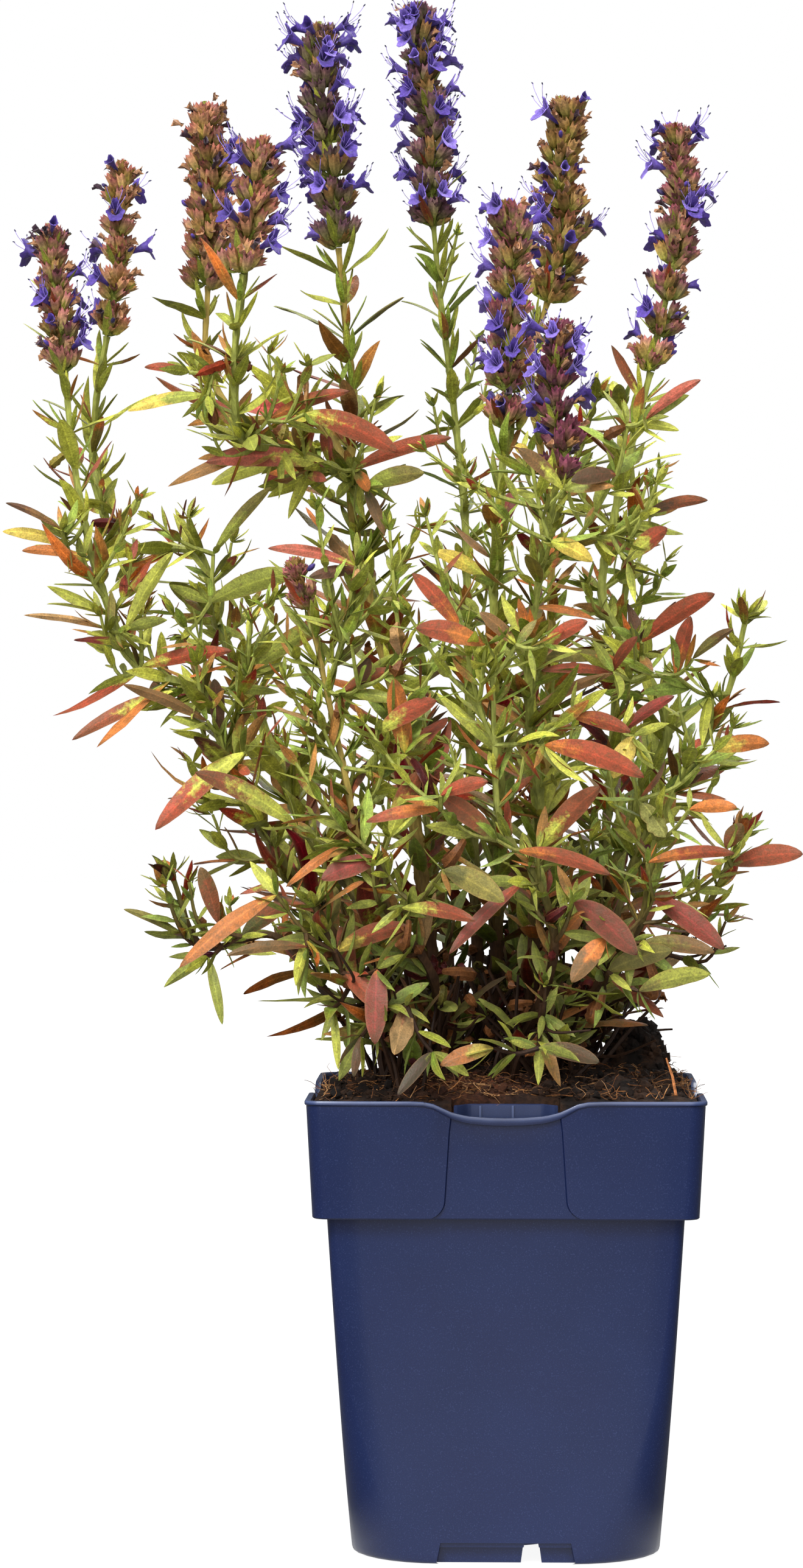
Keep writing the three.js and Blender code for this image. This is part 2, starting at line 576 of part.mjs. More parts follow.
function pointAt(line, length) {
  let i = 1;
  while (i < line.length - 1 && line[i].length < length) i += 1;
  const [before, after] = [line[i - 1], line[i]];
  const share = (length - before.length) / (after.length - before.length);
  return before.point.clone().lerp(after.point, Math.min(1, Math.max(0, share)));
}

function directionAt(points, index) {
  const before = points[Math.max(0, index - 1)];
  const after = points[Math.min(points.length - 1, index + 1)];
  return after.clone().sub(before).normalize();
}

// A frame holds an axis and two directions square to it.
function frameOf(axis, heading = new THREE.Vector3(0.3, 1, 0.2)) {
  const first = heading.clone().addScaledVector(axis, -heading.dot(axis)).normalize();
  return { axis, first, second: axis.clone().cross(first) };
}

// The frames along points keep their heading from one point to the next.
function framesAlong(points) {
  let heading;
  return points.map((unused, i) => {
    const frame = frameOf(directionAt(points, i), heading);
    heading = frame.first;
    return frame;
  });
}

function outward(frame, angle) {
  return frame.first.clone().multiplyScalar(Math.cos(angle)).addScaledVector(frame.second, Math.sin(angle));
}

function around(centre, frame, radius, count, turn = 0) {
  return Array.from({ length: count }, (unused, i) => (
    centre.clone().addScaledVector(outward(frame, turn + (i / count) * 2 * Math.PI), radius)
  ));
}

// A tapering rod with a few sides along points.
function rod(points, radiusAt, sides) {
  const frames = framesAlong(points);
  return solid(points.map((point, i) => (
    around(point, frames[i], radiusAt(i / (points.length - 1)), sides, Math.PI / 4)
  )));
}

// A blade follows a bow from its foot through a middle handle to its tip, pointed at both ends, with its
// keel underneath. side points to its right edge.
function bladePoint(leaf, share) {
  const { foot, handle, tip } = leaf;
  const rest = 1 - share;
  return new THREE.Vector3()
    .addScaledVector(foot, rest * rest)
    .addScaledVector(handle, 2 * rest * share)
    .addScaledVector(tip, share * share);
}

function bladeDirection(leaf, share) {
  const towards = leaf.handle.clone().sub(leaf.foot).multiplyScalar(1 - share);
  return towards.addScaledVector(leaf.tip.clone().sub(leaf.handle), share).normalize();
}

const BROAD_STATIONS = [[0.2, 0.56], [0.5, 1], [0.8, 0.62]];
const NARROW_STATIONS = [[0.28, 0.8], [0.66, 0.92]];

function blade(leaf) {
  const stations = leaf.broad ? BROAD_STATIONS : NARROW_STATIONS;
  const rings = stations.map(([share, width]) => {
    const centre = bladePoint(leaf, share);
    const direction = bladeDirection(leaf, share);
    const side = leaf.side.clone().addScaledVector(direction, -leaf.side.dot(direction)).normalize();
    const under = side.clone().cross(direction).normalize();
    const half = leaf.width * width / 2;
    return [
      centre.clone().addScaledVector(side, half),
      centre.clone().addScaledVector(under, LEAF_THICKNESS),
      centre.clone().addScaledVector(side, -half),
    ];
  });
  return solid([[leaf.stalk ? leaf.stalk[0] : leaf.foot], ...stalkRings(leaf), ...rings, [leaf.tip]]);
}

// A leaf that stands away from its stem has a thin woody stalk bent up to it. Its three sides keep their
// heading from the blade down.
function stalkRings(leaf) {
  if (!leaf.stalk) return [];
  let side = leaf.side;
  return [2, 1].map((i) => {
    const direction = directionAt([...leaf.stalk, leaf.handle], i);
    side = side.clone().addScaledVector(direction, -side.dot(direction)).normalize();
    const under = side.clone().cross(direction).normalize();
    return [[1, 0.35], [0, 1.2], [-1, 0.35]].map(([across, down], corner) => leaf.stalk[i].clone()
      .addScaledVector(side, across)
      .addScaledVector(under, corner === 1 ? down : -down));
  }).reverse();
}

// Room is kept between nodes: every rod and blade leaves beads here, and a new one has to stay clear.
const CELL = 3.2;
const BEAD = 1.15;

class Room {
  constructor() {
    this.cells = new Map();
  }

  key(x, y, z) {
    return `${x},${y},${z}`;
  }

  add(bead) {
    const place = [bead.point.x, bead.point.y, bead.point.z].map((value) => Math.floor(value / CELL));
    const key = this.key(...place);
    if (!this.cells.has(key)) this.cells.set(key, []);
    this.cells.get(key).push(bead);
  }

  isClear(bead) {
    const [cx, cy, cz] = [bead.point.x, bead.point.y, bead.point.z].map((v) => Math.floor(v / CELL));
    for (let x = cx - 1; x <= cx + 1; x += 1) {
      for (let y = cy - 1; y <= cy + 1; y += 1) {
        for (let z = cz - 1; z <= cz + 1; z += 1) {
          for (const other of this.cells.get(this.key(x, y, z)) ?? []) {
            if (!this.pass(bead, other)) return false;
          }
        }
      }
    }
    return true;
  }

  // Beads of one node may touch where a leaf leaves its stem, but two of its leaves don't cross.
  pass(bead, other) {
    const sameNode = bead.node === other.node;
    if (sameNode && (bead.foot || other.foot || other.wood || bead.wood)) return true;
    const reach = bead.radius + other.radius + (sameNode ? -0.6 : NODE_GAP);
    return bead.point.distanceToSquared(other.point) > reach * reach;
  }
}

const room = new Room();

function bladeBeads(leaf, node) {
  const length = leaf.foot.distanceTo(leaf.handle) + leaf.handle.distanceTo(leaf.tip);
  const count = Math.ceil(length / 1.9);
  const beads = [];
  for (let i = 0; i <= count; i += 1) {
    const share = i / count;
    const direction = bladeDirection(leaf, share);
    const side = leaf.side.clone().addScaledVector(direction, -leaf.side.dot(direction)).normalize();
    const half = leaf.width / 2 * Math.sin(Math.PI * Math.min(0.97, Math.max(0.05, share)));
    const rows = Math.max(1, Math.round(half / 1.1));
    for (let row = -rows; row <= rows; row += 1) {
      beads.push({
        point: bladePoint(leaf, share).addScaledVector(side, half * row / rows),
        radius: BEAD * 0.82,
        node,
        foot: share * length < 4.5,
      });
    }
  }
  return beads;
}

function rodBeads(points, radiusAt, node) {
  const beads = [];
  for (let i = 0; i < points.length - 1; i += 1) {
    const length = points[i].distanceTo(points[i + 1]);
    const count = Math.ceil(length / 1.6);
    for (let j = 0; j < count; j += 1) {
      const share = (i + j / count) / (points.length - 1);
      beads.push({
        point: points[i].clone().lerp(points[i + 1], j / count),
        radius: radiusAt(share) * 1.1,
        node,
        wood: true,
      });
    }
  }
  return beads;
}

function takeRoom(beads) {
  if (!beads.every((bead) => room.isClear(bead))) return false;
  beads.forEach((bead) => room.add(bead));
  return true;
}

// Stems first: every stem and branch keeps its walked points, its radius and the node that it belongs to.

function stemRadius(radius) {
  return (share) => radius[0] + (radius[1] - radius[0]) * share;
}

const stems = [];

function layOutStem(stem, parent) {
  const curve = routeCurve(stem.route);
  if (!parent) {
    const foot = curve.points[0];
    curve.points.unshift(new THREE.Vector3(foot.x, foot.y, soilSurface(foot.x, foot.y) - STEM_HOLE.depth));
  }
  const laid = {
    ...stem,
    node: parent ? parent.node : `stem_${stem.name}`,
    points: walk(curve, STEM_SEGMENT),
    radiusAt: stemRadius(stem.radius),
    rooted: !parent,
    bare: stem.bare ?? 0.06,
  };
  stems.push(laid);
  rodBeads(laid.points, laid.radiusAt, laid.node).forEach((bead) => room.add(bead));
  for (const branch of stem.branches ?? []) layOutStem(branch, laid);
}

STEMS.forEach((stem) => layOutStem(stem, null));

const grown = new Map();

function grow(node, piece) {
  if (!grown.has(node)) grown.set(node, []);
  grown.get(node).push(piece);
}

function growWood() {
  for (const stem of stems) grow(stem.node, rod(stem.points, stem.radiusAt, 4));
}

// Spikes: one skin that narrows between whorls and runs out to pointed calyces at each whorl, and violet
// florets with an open mouth.

function floret(foot, direction, length, turn) {
  const frame = frameOf(direction);
  const along = (share) => foot.clone().addScaledVector(direction, length * share);
  return solid([
    [foot],
    around(along(0.5), frame, 0.9, 3, turn),
    around(along(0.86), frame, 2.7, 3, turn),
    [along(0.7)],
  ]);
}

function whorlRings(centre, frame, waist, reach, height, level) {
  const count = CALYCES_IN_WHORL * 2;
  const starPoints = around(centre, frame, 1, count).map((point, i) => {
    const isTip = (i + level) % 2 === 0;
    return centre.clone()
      .addScaledVector(point.sub(centre), isTip ? reach : SPIKE_WAIST * 1.25)
      .addScaledVector(frame.axis, height * (isTip ? 0.86 : 0.42));
  });
  return [around(centre, frame, waist, count), starPoints];
}

// Where a whorl stands apart from the next, the bare stem between them is left free.
function spikeBody(curve, spike) {
  const centres = walk(curve, WHORL_SPACING * (1 + 0.4 * spike.open), spike.open);
  const frames = framesAlong(centres);
  const last = centres.length - 1;
  const rings = [];
  let waist = SPIKE_WAIST;
  for (let level = 0; level < last; level += 1) {
    const [centre, frame] = [centres[level], frames[level]];
    const reach = spike.reach * (1 - 0.35 * (level / last) ** 2);
    const spacing = centre.distanceTo(centres[level + 1]);
    rings.push(...whorlRings(centre, frame, waist, reach, Math.min(spacing, WHORL_HEIGHT), level));
    const isApart = spacing > WHORL_HEIGHT * 1.25;
    waist = isApart ? BARE_STEM : SPIKE_WAIST;
    if (isApart) {
      const cupInside = centre.clone().addScaledVector(frame.axis, WHORL_HEIGHT * 0.95);
      rings.push(around(cupInside, frame, BARE_STEM, CALYCES_IN_WHORL * 2));
    }
  }
  rings.push([centres[last]]);
  return { body: solid(rings), centres, frames };
}

// A spike sits just above the top of its stem.
function spikeCurve(stem) {
  const curve = routeCurve(stem.spike.route);
  const top = stem.points.length - 1;
  curve.points[0] = stem.points[top].clone().addScaledVector(directionAt(stem.points, top), NODE_GAP);
  return curve;
}

function buildSpike(stem, seed) {
  const draw = seededDraw(seed);
  const { spike } = stem;
  const curve = spikeCurve(stem);
  const node = `spike_${stem.name}`;
  const { body, centres, frames } = spikeBody(curve, spike);
  const pieces = [body];
  for (let i = 0; i < spike.florets; i += 1) {
    const level = Math.floor((centres.length - 1) * (i + draw()) / spike.florets);
    const { axis } = frames[level];
    const spacing = centres[level].distanceTo(centres[level + 1]);
    const centre = centres[level].clone().addScaledVector(axis, Math.min(spacing, WHORL_HEIGHT) * 0.4);
    const angle = i * 2.4 + draw();
    const out = outward(frameOf(axis), angle);
    const heading = axis.clone().multiplyScalar(0.35 + 0.3 * draw()).add(out).normalize();
    pieces.push(floret(centre, heading, spike.reach + 4.6, angle));
  }
  addNode(node, largestPiece(joined(pieces)), COLOURS[spike.colour], 0.7);
  keepSpikeRoom(curve, spike, node);
}

function keepSpikeRoom(curve, spike, node) {
  const centres = walk(curve, 3);
  const frames = framesAlong(centres);
  centres.forEach((centre, level) => {
    const reach = spike.reach + (spike.florets > 0 ? 3 : 0.5);
    room.add({ point: centre, radius: 2.6, node });
    for (const share of [0.5, 1]) {
      around(centre, frames[level], (reach - 1) * share, 10).forEach((point) => {
        room.add({ point, radius: 1.6, node });
      });
    }
  });
}

// Large leaves: each springs from the stem that it lies nearest to, by a twig of its own where that is far.

function nearestWood({ foot, handle }, exclude) {
  const heading = handle.clone().sub(foot).normalize();
  let best = null;
  for (const stem of stems) {
    const first = stem.rooted ? 2 : 1;
    const last = stem.points.length - (stem.twig ? 1 : 2);
    for (let i = first; i <= last; i += 1) {
      const point = stem.points[i];
      const apart = point.clone().sub(foot);
      const length = apart.length();
      const high = Math.max(0, apart.z + 0.35 * length);
      const ahead = Math.max(0, apart.dot(heading) + 0.2 * length);
      const cost = length + 0.8 * high + (length < 5 ? 0 : 2.5 * ahead);
      if ((!best || cost < best.cost) && !exclude.has(stem)) best = { cost, stem, point };
    }
  }
  return best;
}

function leafSide(foot, tip, roll) {
  const along = tip.clone().sub(foot).normalize();
  const facing = new THREE.Vector3(0, -1, 0);
  const side = along.clone().cross(facing).normalize();
  return side.applyAxisAngle(along, roll);
}

function largeLeafDepth(across, down) {
  const inBush = Math.max(0, 1 - ((across - 800) / 430) ** 2);
  const low = THREE.MathUtils.clamp((down - 1000) / 150, 0, 1);
  return -64 * Math.sqrt(inBush) * low;
}

function nearestStemDepth(across, down) {
  let best = { cost: Infinity, depth: 0 };
  for (const stem of stems) {
    for (const point of stem.points) {
      const depth = point.y;
      const scale = (VIEW.distance + depth) / VIEW.focalLength;
      const dx = point.x / scale + VIEW.middle - across;
      const dz = VIEW.horizon - (point.z - VIEW.eyeHeight) / scale - down;
      const cost = Math.hypot(dx, dz) / 6 + 0.25 * (depth + 70);
      if (cost < best.cost) best = { cost, depth };
    }
  }
  return best.depth;
}

function largeLeafAt([footAcross, footDown, tipAcross, tipDown, width], shift, forward) {
  const front = Math.min(largeLeafDepth(footAcross, footDown), nearestStemDepth(footAcross, footDown) - 4);
  const depth = front + shift;
  const foot = seen(footAcross, footDown, depth);
  const chord = Math.hypot(tipAcross - footAcross, tipDown - footDown) / 5.8;
  const tip = seen(tipAcross, tipDown, depth - forward * chord);
  const rise = tip.x === foot.x ? 0 : 0.12;
  const handle = foot.clone().lerp(tip, 0.5).add(new THREE.Vector3(0, -0.1 * chord, rise * chord));
  return { foot, handle, tip, side: leafSide(foot, tip, 0.25), width: width / 5.8, broad: width >= 32 };
}

function growLargeLeaf(row) {
  const tries = [];
  for (const shift of [0, -5, 5, -10, 10, -16, 18]) {
    for (const forward of [0.2, 0.5, -0.1]) tries.push([shift, forward]);
  }
  for (const [shift, forward] of tries) {
    const leaf = largeLeafAt(row, shift, forward);
    const exclude = new Set();
    for (let attempt = 0; attempt < 3; attempt += 1) {
      const wood = nearestWood(leaf, exclude);
      exclude.add(wood.stem);
      if (joinToWood(leaf, wood)) return;
    }
  }
}

function joinToWood(leaf, wood) {
  const node = wood.stem.node;
  const gap = wood.point.distanceTo(leaf.foot);
  if (gap > 60) return false;
  if (gap < 5) {
    const moved = { ...leaf, foot: wood.point.clone() };
    if (!takeRoom(bladeBeads(moved, node))) return false;
    grow(node, blade(moved));
    return true;
  }
  const bend = wood.point.clone().lerp(leaf.foot, 0.5);
  bend.z -= gap * 0.12;
  const stalk = [wood.point.clone(), bend, leaf.foot.clone()];
  const radiusAt = () => 0.9;
  if (!takeRoom([...rodBeads(stalk, radiusAt, node), ...bladeBeads(leaf, node)])) return false;
  grow(node, blade({ ...leaf, stalk }));
  stems.push({ node, points: stalk, radiusAt, rooted: false, twig: true });
  return true;
}

// Pairs of leaves, each pair square to the one below, up every stem.

function pairLeaf(stem, index, out, axis, length, pitch) {
  const below = stem.points[Math.max(0, index - 1)];
  const foot = stem.points[index].clone().lerp(below, 0.08);
  const heading = axis.clone().multiplyScalar(Math.cos(pitch)).addScaledVector(out, Math.sin(pitch));
  const handle = foot.clone().addScaledVector(heading, length * 0.52);
  const tip = foot.clone().addScaledVector(heading, length * 0.96);
  tip.addScaledVector(out, length * 0.1);
  tip.z -= length * 0.14;
  return { foot, handle, tip, side: out.clone().cross(axis).normalize(), width: length * 0.22, broad: false };
}

function growPairs(stem, seed) {
  const draw = seededDraw(seed);
  const walked = { ...stem, points: evenSteps(stem.points, PAIR_SPACING) };
  const frames = framesAlong(walked.points);
  const count = walked.points.length - 1;
  for (let i = 0; i <= count; i += 1) {
    const share = i / count;
    if (share < stem.bare || (stem.spike && i === count)) continue;
    const { axis } = frames[i];
    const turn = (i % 2) * Math.PI / 2 + (draw() - 0.5) * 0.7;
    for (const half of [0, Math.PI]) {
      const length = stem.leaf * (1.45 - 0.5 * share) * (0.85 + 0.3 * draw());
      const candidates = [];
      for (const swing of [0, 0.45, -0.45, 0.9, -0.9]) {
        for (const pitch of [0.85, 0.6, 1.15]) {
          const out = outward(frames[i], turn + half + swing);
          candidates.push(pairLeaf(walked, i, out, axis, length, pitch));
        }
      }
      const leaf = candidates.find((candidate) => takeRoom(bladeBeads(candidate, stem.node)));
      if (leaf) grow(stem.node, blade(leaf));
    }
  }
}

function buildGrowth() {
  growWood();
  let seed = 11;
  for (const stem of [...stems]) {
    seed += 7;
    if (stem.spike) buildSpike(stem, seed);
  }
  LARGE_LEAVES.forEach(growLargeLeaf);
  for (const stem of stems.filter((each) => !each.twig)) {
    seed += 7;
    growPairs(stem, seed);
  }
  for (const stem of STEMS) {
    const node = `stem_${stem.name}`;
    addNode(node, largestPiece(joined(grown.get(node))), COLOURS[stem.colour], 0.75);
  }
}

function buildSoil() {
  const holes = stems.filter((stem) => stem.rooted).map((stem) => {
    const low = stem.points[0].clone();
    low.z -= STEM_HOLE.clearance;
    const radius = stem.radius[0] + STEM_HOLE.clearance * Math.SQRT2;
    return rod([low, ...stem.points.slice(1, 3)], () => radius, 4);
  });
  return largestPiece(soilBlock().subtract(joined([labelTabRoom(), ...holes])));
}

addNode('pot', buildPot(), COLOURS.pot, 0.45);
buildGrowth();
addNode('soil', buildSoil(), COLOURS.soil, 0.95);

export default group;
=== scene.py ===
# %% [markdown]
# # A potted hyssop in flower
#
# Hyssop is a small woody herb of the mint family. This one fills a square nursery pot with leafy stems, and
# most of its stems end in a spike of violet flowers. The solid model already has each stem, leaf, spike, the
# soil and the pot at their real place and size. This lesson gives each of them the surface of the real thing.
# The solids are loaded first, because every finer piece is set out from the same lines as the solid it
# stands for.

# %% Load the solid model
import json
import math
from functools import partial

import bpy
import numpy as np
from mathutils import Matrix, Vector, noise
from mathutils.bvhtree import BVHTree

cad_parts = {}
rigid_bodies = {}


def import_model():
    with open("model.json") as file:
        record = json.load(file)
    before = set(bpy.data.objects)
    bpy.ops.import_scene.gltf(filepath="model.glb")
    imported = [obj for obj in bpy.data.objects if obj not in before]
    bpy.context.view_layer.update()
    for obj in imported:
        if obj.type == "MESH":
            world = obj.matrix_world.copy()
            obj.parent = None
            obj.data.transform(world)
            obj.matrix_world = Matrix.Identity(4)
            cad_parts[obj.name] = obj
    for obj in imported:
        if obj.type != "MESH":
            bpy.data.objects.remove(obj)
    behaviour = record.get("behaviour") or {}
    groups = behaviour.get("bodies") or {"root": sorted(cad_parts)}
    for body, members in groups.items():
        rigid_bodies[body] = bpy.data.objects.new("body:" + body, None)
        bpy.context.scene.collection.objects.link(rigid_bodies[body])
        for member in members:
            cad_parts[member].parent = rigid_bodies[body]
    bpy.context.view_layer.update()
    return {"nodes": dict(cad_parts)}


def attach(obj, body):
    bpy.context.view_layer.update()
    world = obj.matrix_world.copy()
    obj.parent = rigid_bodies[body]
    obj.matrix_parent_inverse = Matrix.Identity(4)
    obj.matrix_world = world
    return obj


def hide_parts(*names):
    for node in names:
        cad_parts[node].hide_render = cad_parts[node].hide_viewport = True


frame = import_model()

MM = 0.001

# %% [markdown]
# ## The view, the floor and the light
#
# A tall plant could be shown from above or from the front. The camera here stands level with the middle of
# the leaves, well over a metre away, so that the pot's rim is seen almost edge on and its sides stay
# straight. A long lens keeps the spikes in proportion. The light is that of a small studio: one large soft
# light high up in front on the left, a weaker one from behind on the right that rims the leaves, and a soft
# glow from the front. The floor is a light table that glows near the pot only. Lit all over, it would lift
# every shadow under the leaves. A fill from all round reaches matt surfaces alone, and the camera sees white
# paper behind.

# %% Camera, from the distance and the lens that match the pot's rim
PICTURE_WIDTH, PICTURE_HEIGHT = 1319, 2576
FOCAL_LENGTH = 7200
POT_MIDDLE, HORIZON = 831, 1230
EYE_DISTANCE, EYE_HEIGHT = 1245, 224
SENSOR = 36

camera_data = bpy.data.cameras.new("camera")
camera_data.sensor_width = SENSOR
camera_data.lens = SENSOR * FOCAL_LENGTH / PICTURE_HEIGHT
camera_data.clip_start, camera_data.clip_end = 0.05, 20
camera = bpy.data.objects.new("camera", camera_data)
bpy.context.scene.collection.objects.link(camera)
camera.location = (0, -EYE_DISTANCE * MM, EYE_HEIGHT * MM)
turn_left = math.atan((POT_MIDDLE - PICTURE_WIDTH / 2) / FOCAL_LENGTH)
look_down = math.atan((PICTURE_HEIGHT / 2 - HORIZON) / FOCAL_LENGTH)
camera.rotation_euler = (math.pi / 2 - look_down, 0, turn_left)
bpy.context.scene.camera = camera
print("lens in mm:", round(camera_data.lens, 1))


# %% Colours and material nodes
def linear(hex_colour):
    """The linear values of an sRGB colour such as #2a1a10."""
    channels = np.array([int(hex_colour[i:i + 2], 16) for i in (1, 3, 5)]) / 255
    return np.where(channels <= 0.04045, channels / 12.92, ((channels + 0.055) / 1.055) ** 2.4)


def rgba(hex_colour):
    return (*linear(hex_colour), 1)


def add_node(tree, kind, settings=None, links=None):
    """Adds a node. Settings fill its options and sockets. Links feed its sockets from sockets or nodes.

    Sockets go by name or number. On a MapRange 1 and 2 are the range that it reads, 3 and 4 what it gives.
    On a colour Mix 6 and 7 are the colours, and its third output is taken. Other nodes give their first one.
    """
    node = tree.nodes.new("ShaderNode" + kind)
    for name, value in (settings or {}).items():
        if isinstance(name, int) or name in node.inputs:
            node.inputs[name].default_value = value
        else:
            setattr(node, name, value)
    for name, source in (links or {}).items():
        if isinstance(source, bpy.types.Node):
            source = source.outputs[2 if getattr(source, "data_type", "") == "RGBA" else 0]
        tree.links.new(source, node.inputs[name])
    return node


def new_material(name):
    """A material, what adds nodes to it, and the place on the object that its patterns start from."""
    material = bpy.data.materials.new(name)
    material.use_nodes = True
    material.node_tree.nodes.clear()
    add = partial(add_node, material.node_tree)
    return material, add, add("TexCoord").outputs["Object"]


def new_object(name, data):
    made = bpy.data.objects.new(name, data)
    bpy.context.scene.collection.objects.link(made)
    return made


# %% A lamp for the soft lights
def soft_sun(name, turn, rise, strength, size):
    """A large far softbox, turned from the front to the right and risen from the floor, in degrees."""
    lamp = bpy.data.lights.new(name, "SUN")
    lamp.energy = strength
    lamp.angle = math.radians(size)
    turn, rise = math.radians(turn), math.radians(rise)
    towards = Vector((math.sin(turn), -math.cos(turn), math.tan(rise)))
    new_object(name, lamp).rotation_euler = towards.to_track_quat("Z", "Y").to_euler()


# %% The light table: white to the camera, bright near the pot for all else
TABLE_HALF = 6
TABLE_WHITE, TABLE_GLOW, TABLE_FILL = 0.92, 0.6, 0.5
GLOW_ENDS, DARK_STARTS, TO_THE_FRONT = 0.045, 0.07, -0.08
GREY, WHITE = (0.1, 0.1, 0.1, 1), (1, 1, 1, 1)
floor_mesh = bpy.data.meshes.new("floor")
floor_mesh.from_pydata([(-TABLE_HALF, -TABLE_HALF, 0), (TABLE_HALF, -TABLE_HALF, 0),
                        (TABLE_HALF, TABLE_HALF, 0), (-TABLE_HALF, TABLE_HALF, 0)], [], [(0, 1, 2, 3)])
new_object("floor", floor_mesh)
light_table, add, on_table = new_material("light_table")
place = add("SeparateXYZ", links={0: on_table})
aside = add("Math", {"operation": "ABSOLUTE"}, {0: place.outputs["X"]})
forward = add("Math", {"operation": "MULTIPLY", 1: TO_THE_FRONT}, {0: place.outputs["Y"]})
off_pot = add("Math", {"operation": "MAXIMUM"}, {0: aside, 1: forward})
glow = add("MapRange", {1: GLOW_ENDS, 2: DARK_STARTS, 3: TABLE_GLOW, 4: 0.0}, {0: off_pot})
ray = add("LightPath")
with_fill = add("Math", {"operation": "MULTIPLY_ADD", 1: TABLE_FILL},
                {0: ray.outputs["Is Diffuse Ray"], 2: glow})
lit = add("Mix", {3: TABLE_WHITE}, {0: ray.outputs["Is Camera Ray"], 2: with_fill})
shader = add("BsdfPrincipled", {"Base Color": GREY, "Roughness": 0.9, "Emission Color": WHITE},
             {"Emission Strength": lit})
add("OutputMaterial", links={"Surface": shader})
floor_mesh.materials.append(light_table)
print("the table glows to mm:", GLOW_ENDS / MM, "and is dark from mm:", DARK_STARTS / MM)

# %% The room: a glow in front, a fill for matt surfaces, white paper for the camera
FRONT_LIGHT, SIDE_LIGHT, ROOM_FILL = 3.7, 0.1, 0.42
FRONT_WAY, GLOW_STARTS, GLOW_FULL = (-0.15, -0.75, 0.64), 0.7, 0.98
world = bpy.data.worlds.new("studio")
world.use_nodes = True
world.node_tree.nodes.clear()
add = partial(add_node, world.node_tree)
towards = add("TexCoord").outputs["Generated"]
facing = add("VectorMath", {"operation": "DOT_PRODUCT", 1: FRONT_WAY}, {0: towards}).outputs["Value"]
frontal = add("MapRange", {1: GLOW_STARTS, 2: GLOW_FULL, 3: SIDE_LIGHT, 4: FRONT_LIGHT}, {0: facing})
ray = add("LightPath")
room_light = add("Math", {"operation": "MULTIPLY_ADD", 1: ROOM_FILL},
                 {0: ray.outputs["Is Diffuse Ray"], 2: frontal})
room = add("Background", {"Color": WHITE}, {"Strength": room_light})
paper = add("Background", {"Color": WHITE, "Strength": 1.0})
studio = add("MixShader", links={0: ray.outputs["Is Camera Ray"], 1: room, 2: paper})
add("OutputWorld", links={"Surface": studio})
bpy.context.scene.world = world
bpy.context.scene.view_settings.view_transform = "Standard"
soft_sun("key", turn=-28, rise=46, strength=2.2, size=16)
soft_sun("back", turn=158, rise=44, strength=1.1, size=30)
print("glow in front:", FRONT_LIGHT, "at the sides:", SIDE_LIGHT, "fill for matt surfaces:", ROOM_FILL)

# %% [markdown]
# ## How the plant is laid out
#
# A plant could be scattered at random, but then it would not be this plant. Each stem here follows the same
# route as its solid: points that are given as they are seen from the front, across and down, with a depth
# behind the middle of the pot. One formula turns them into places in millimetres. A smooth curve runs through
# them, and leaves are set out along it in pairs, each pair square to the one below, as in all mints.


# %% From the view to millimetres, and tables from text
VIEW_PER_MM = 5.8  # how many points of the view a millimetre takes near the pot's middle


def seen(across, down, depth):
    scale = (EYE_DISTANCE + depth) / FOCAL_LENGTH
    return np.array([(across - POT_MIDDLE) * scale, depth, EYE_HEIGHT - (down - HORIZON) * scale])


def rows_of(text):
    """Rows of numbers and words from a text. Commas part the rows."""
    return [tuple(word if word[0].isalpha() else float(word) for word in row.split())
            for row in text.split(",")]


def stem_plan(name, foot_radius, top_radius, bare, leaf, wood, mood, route, spike=None, parent=None):
    """A stem: radii and leaf length in mm, the share that is bare at its foot, and names of its colours."""
    plan = dict(name=name, radius=(foot_radius, top_radius), bare=bare, leaf=leaf, wood=wood, mood=mood,
                route=[seen(*place) for place in rows_of(route)], parent=parent)
    return dict(plan, spike=spike) if spike else plan


def spike_plan(reach, florets, opened, more, bloom, head, remains, route):
    """A spike: its reach in mm, its flowers and dry remains, and the share of flowers in bloom."""
    return dict(reach=reach, florets=florets, open=opened, more=more, bloom=bloom, head=head, remains=remains,
                route=[seen(*place) for place in rows_of(route)])


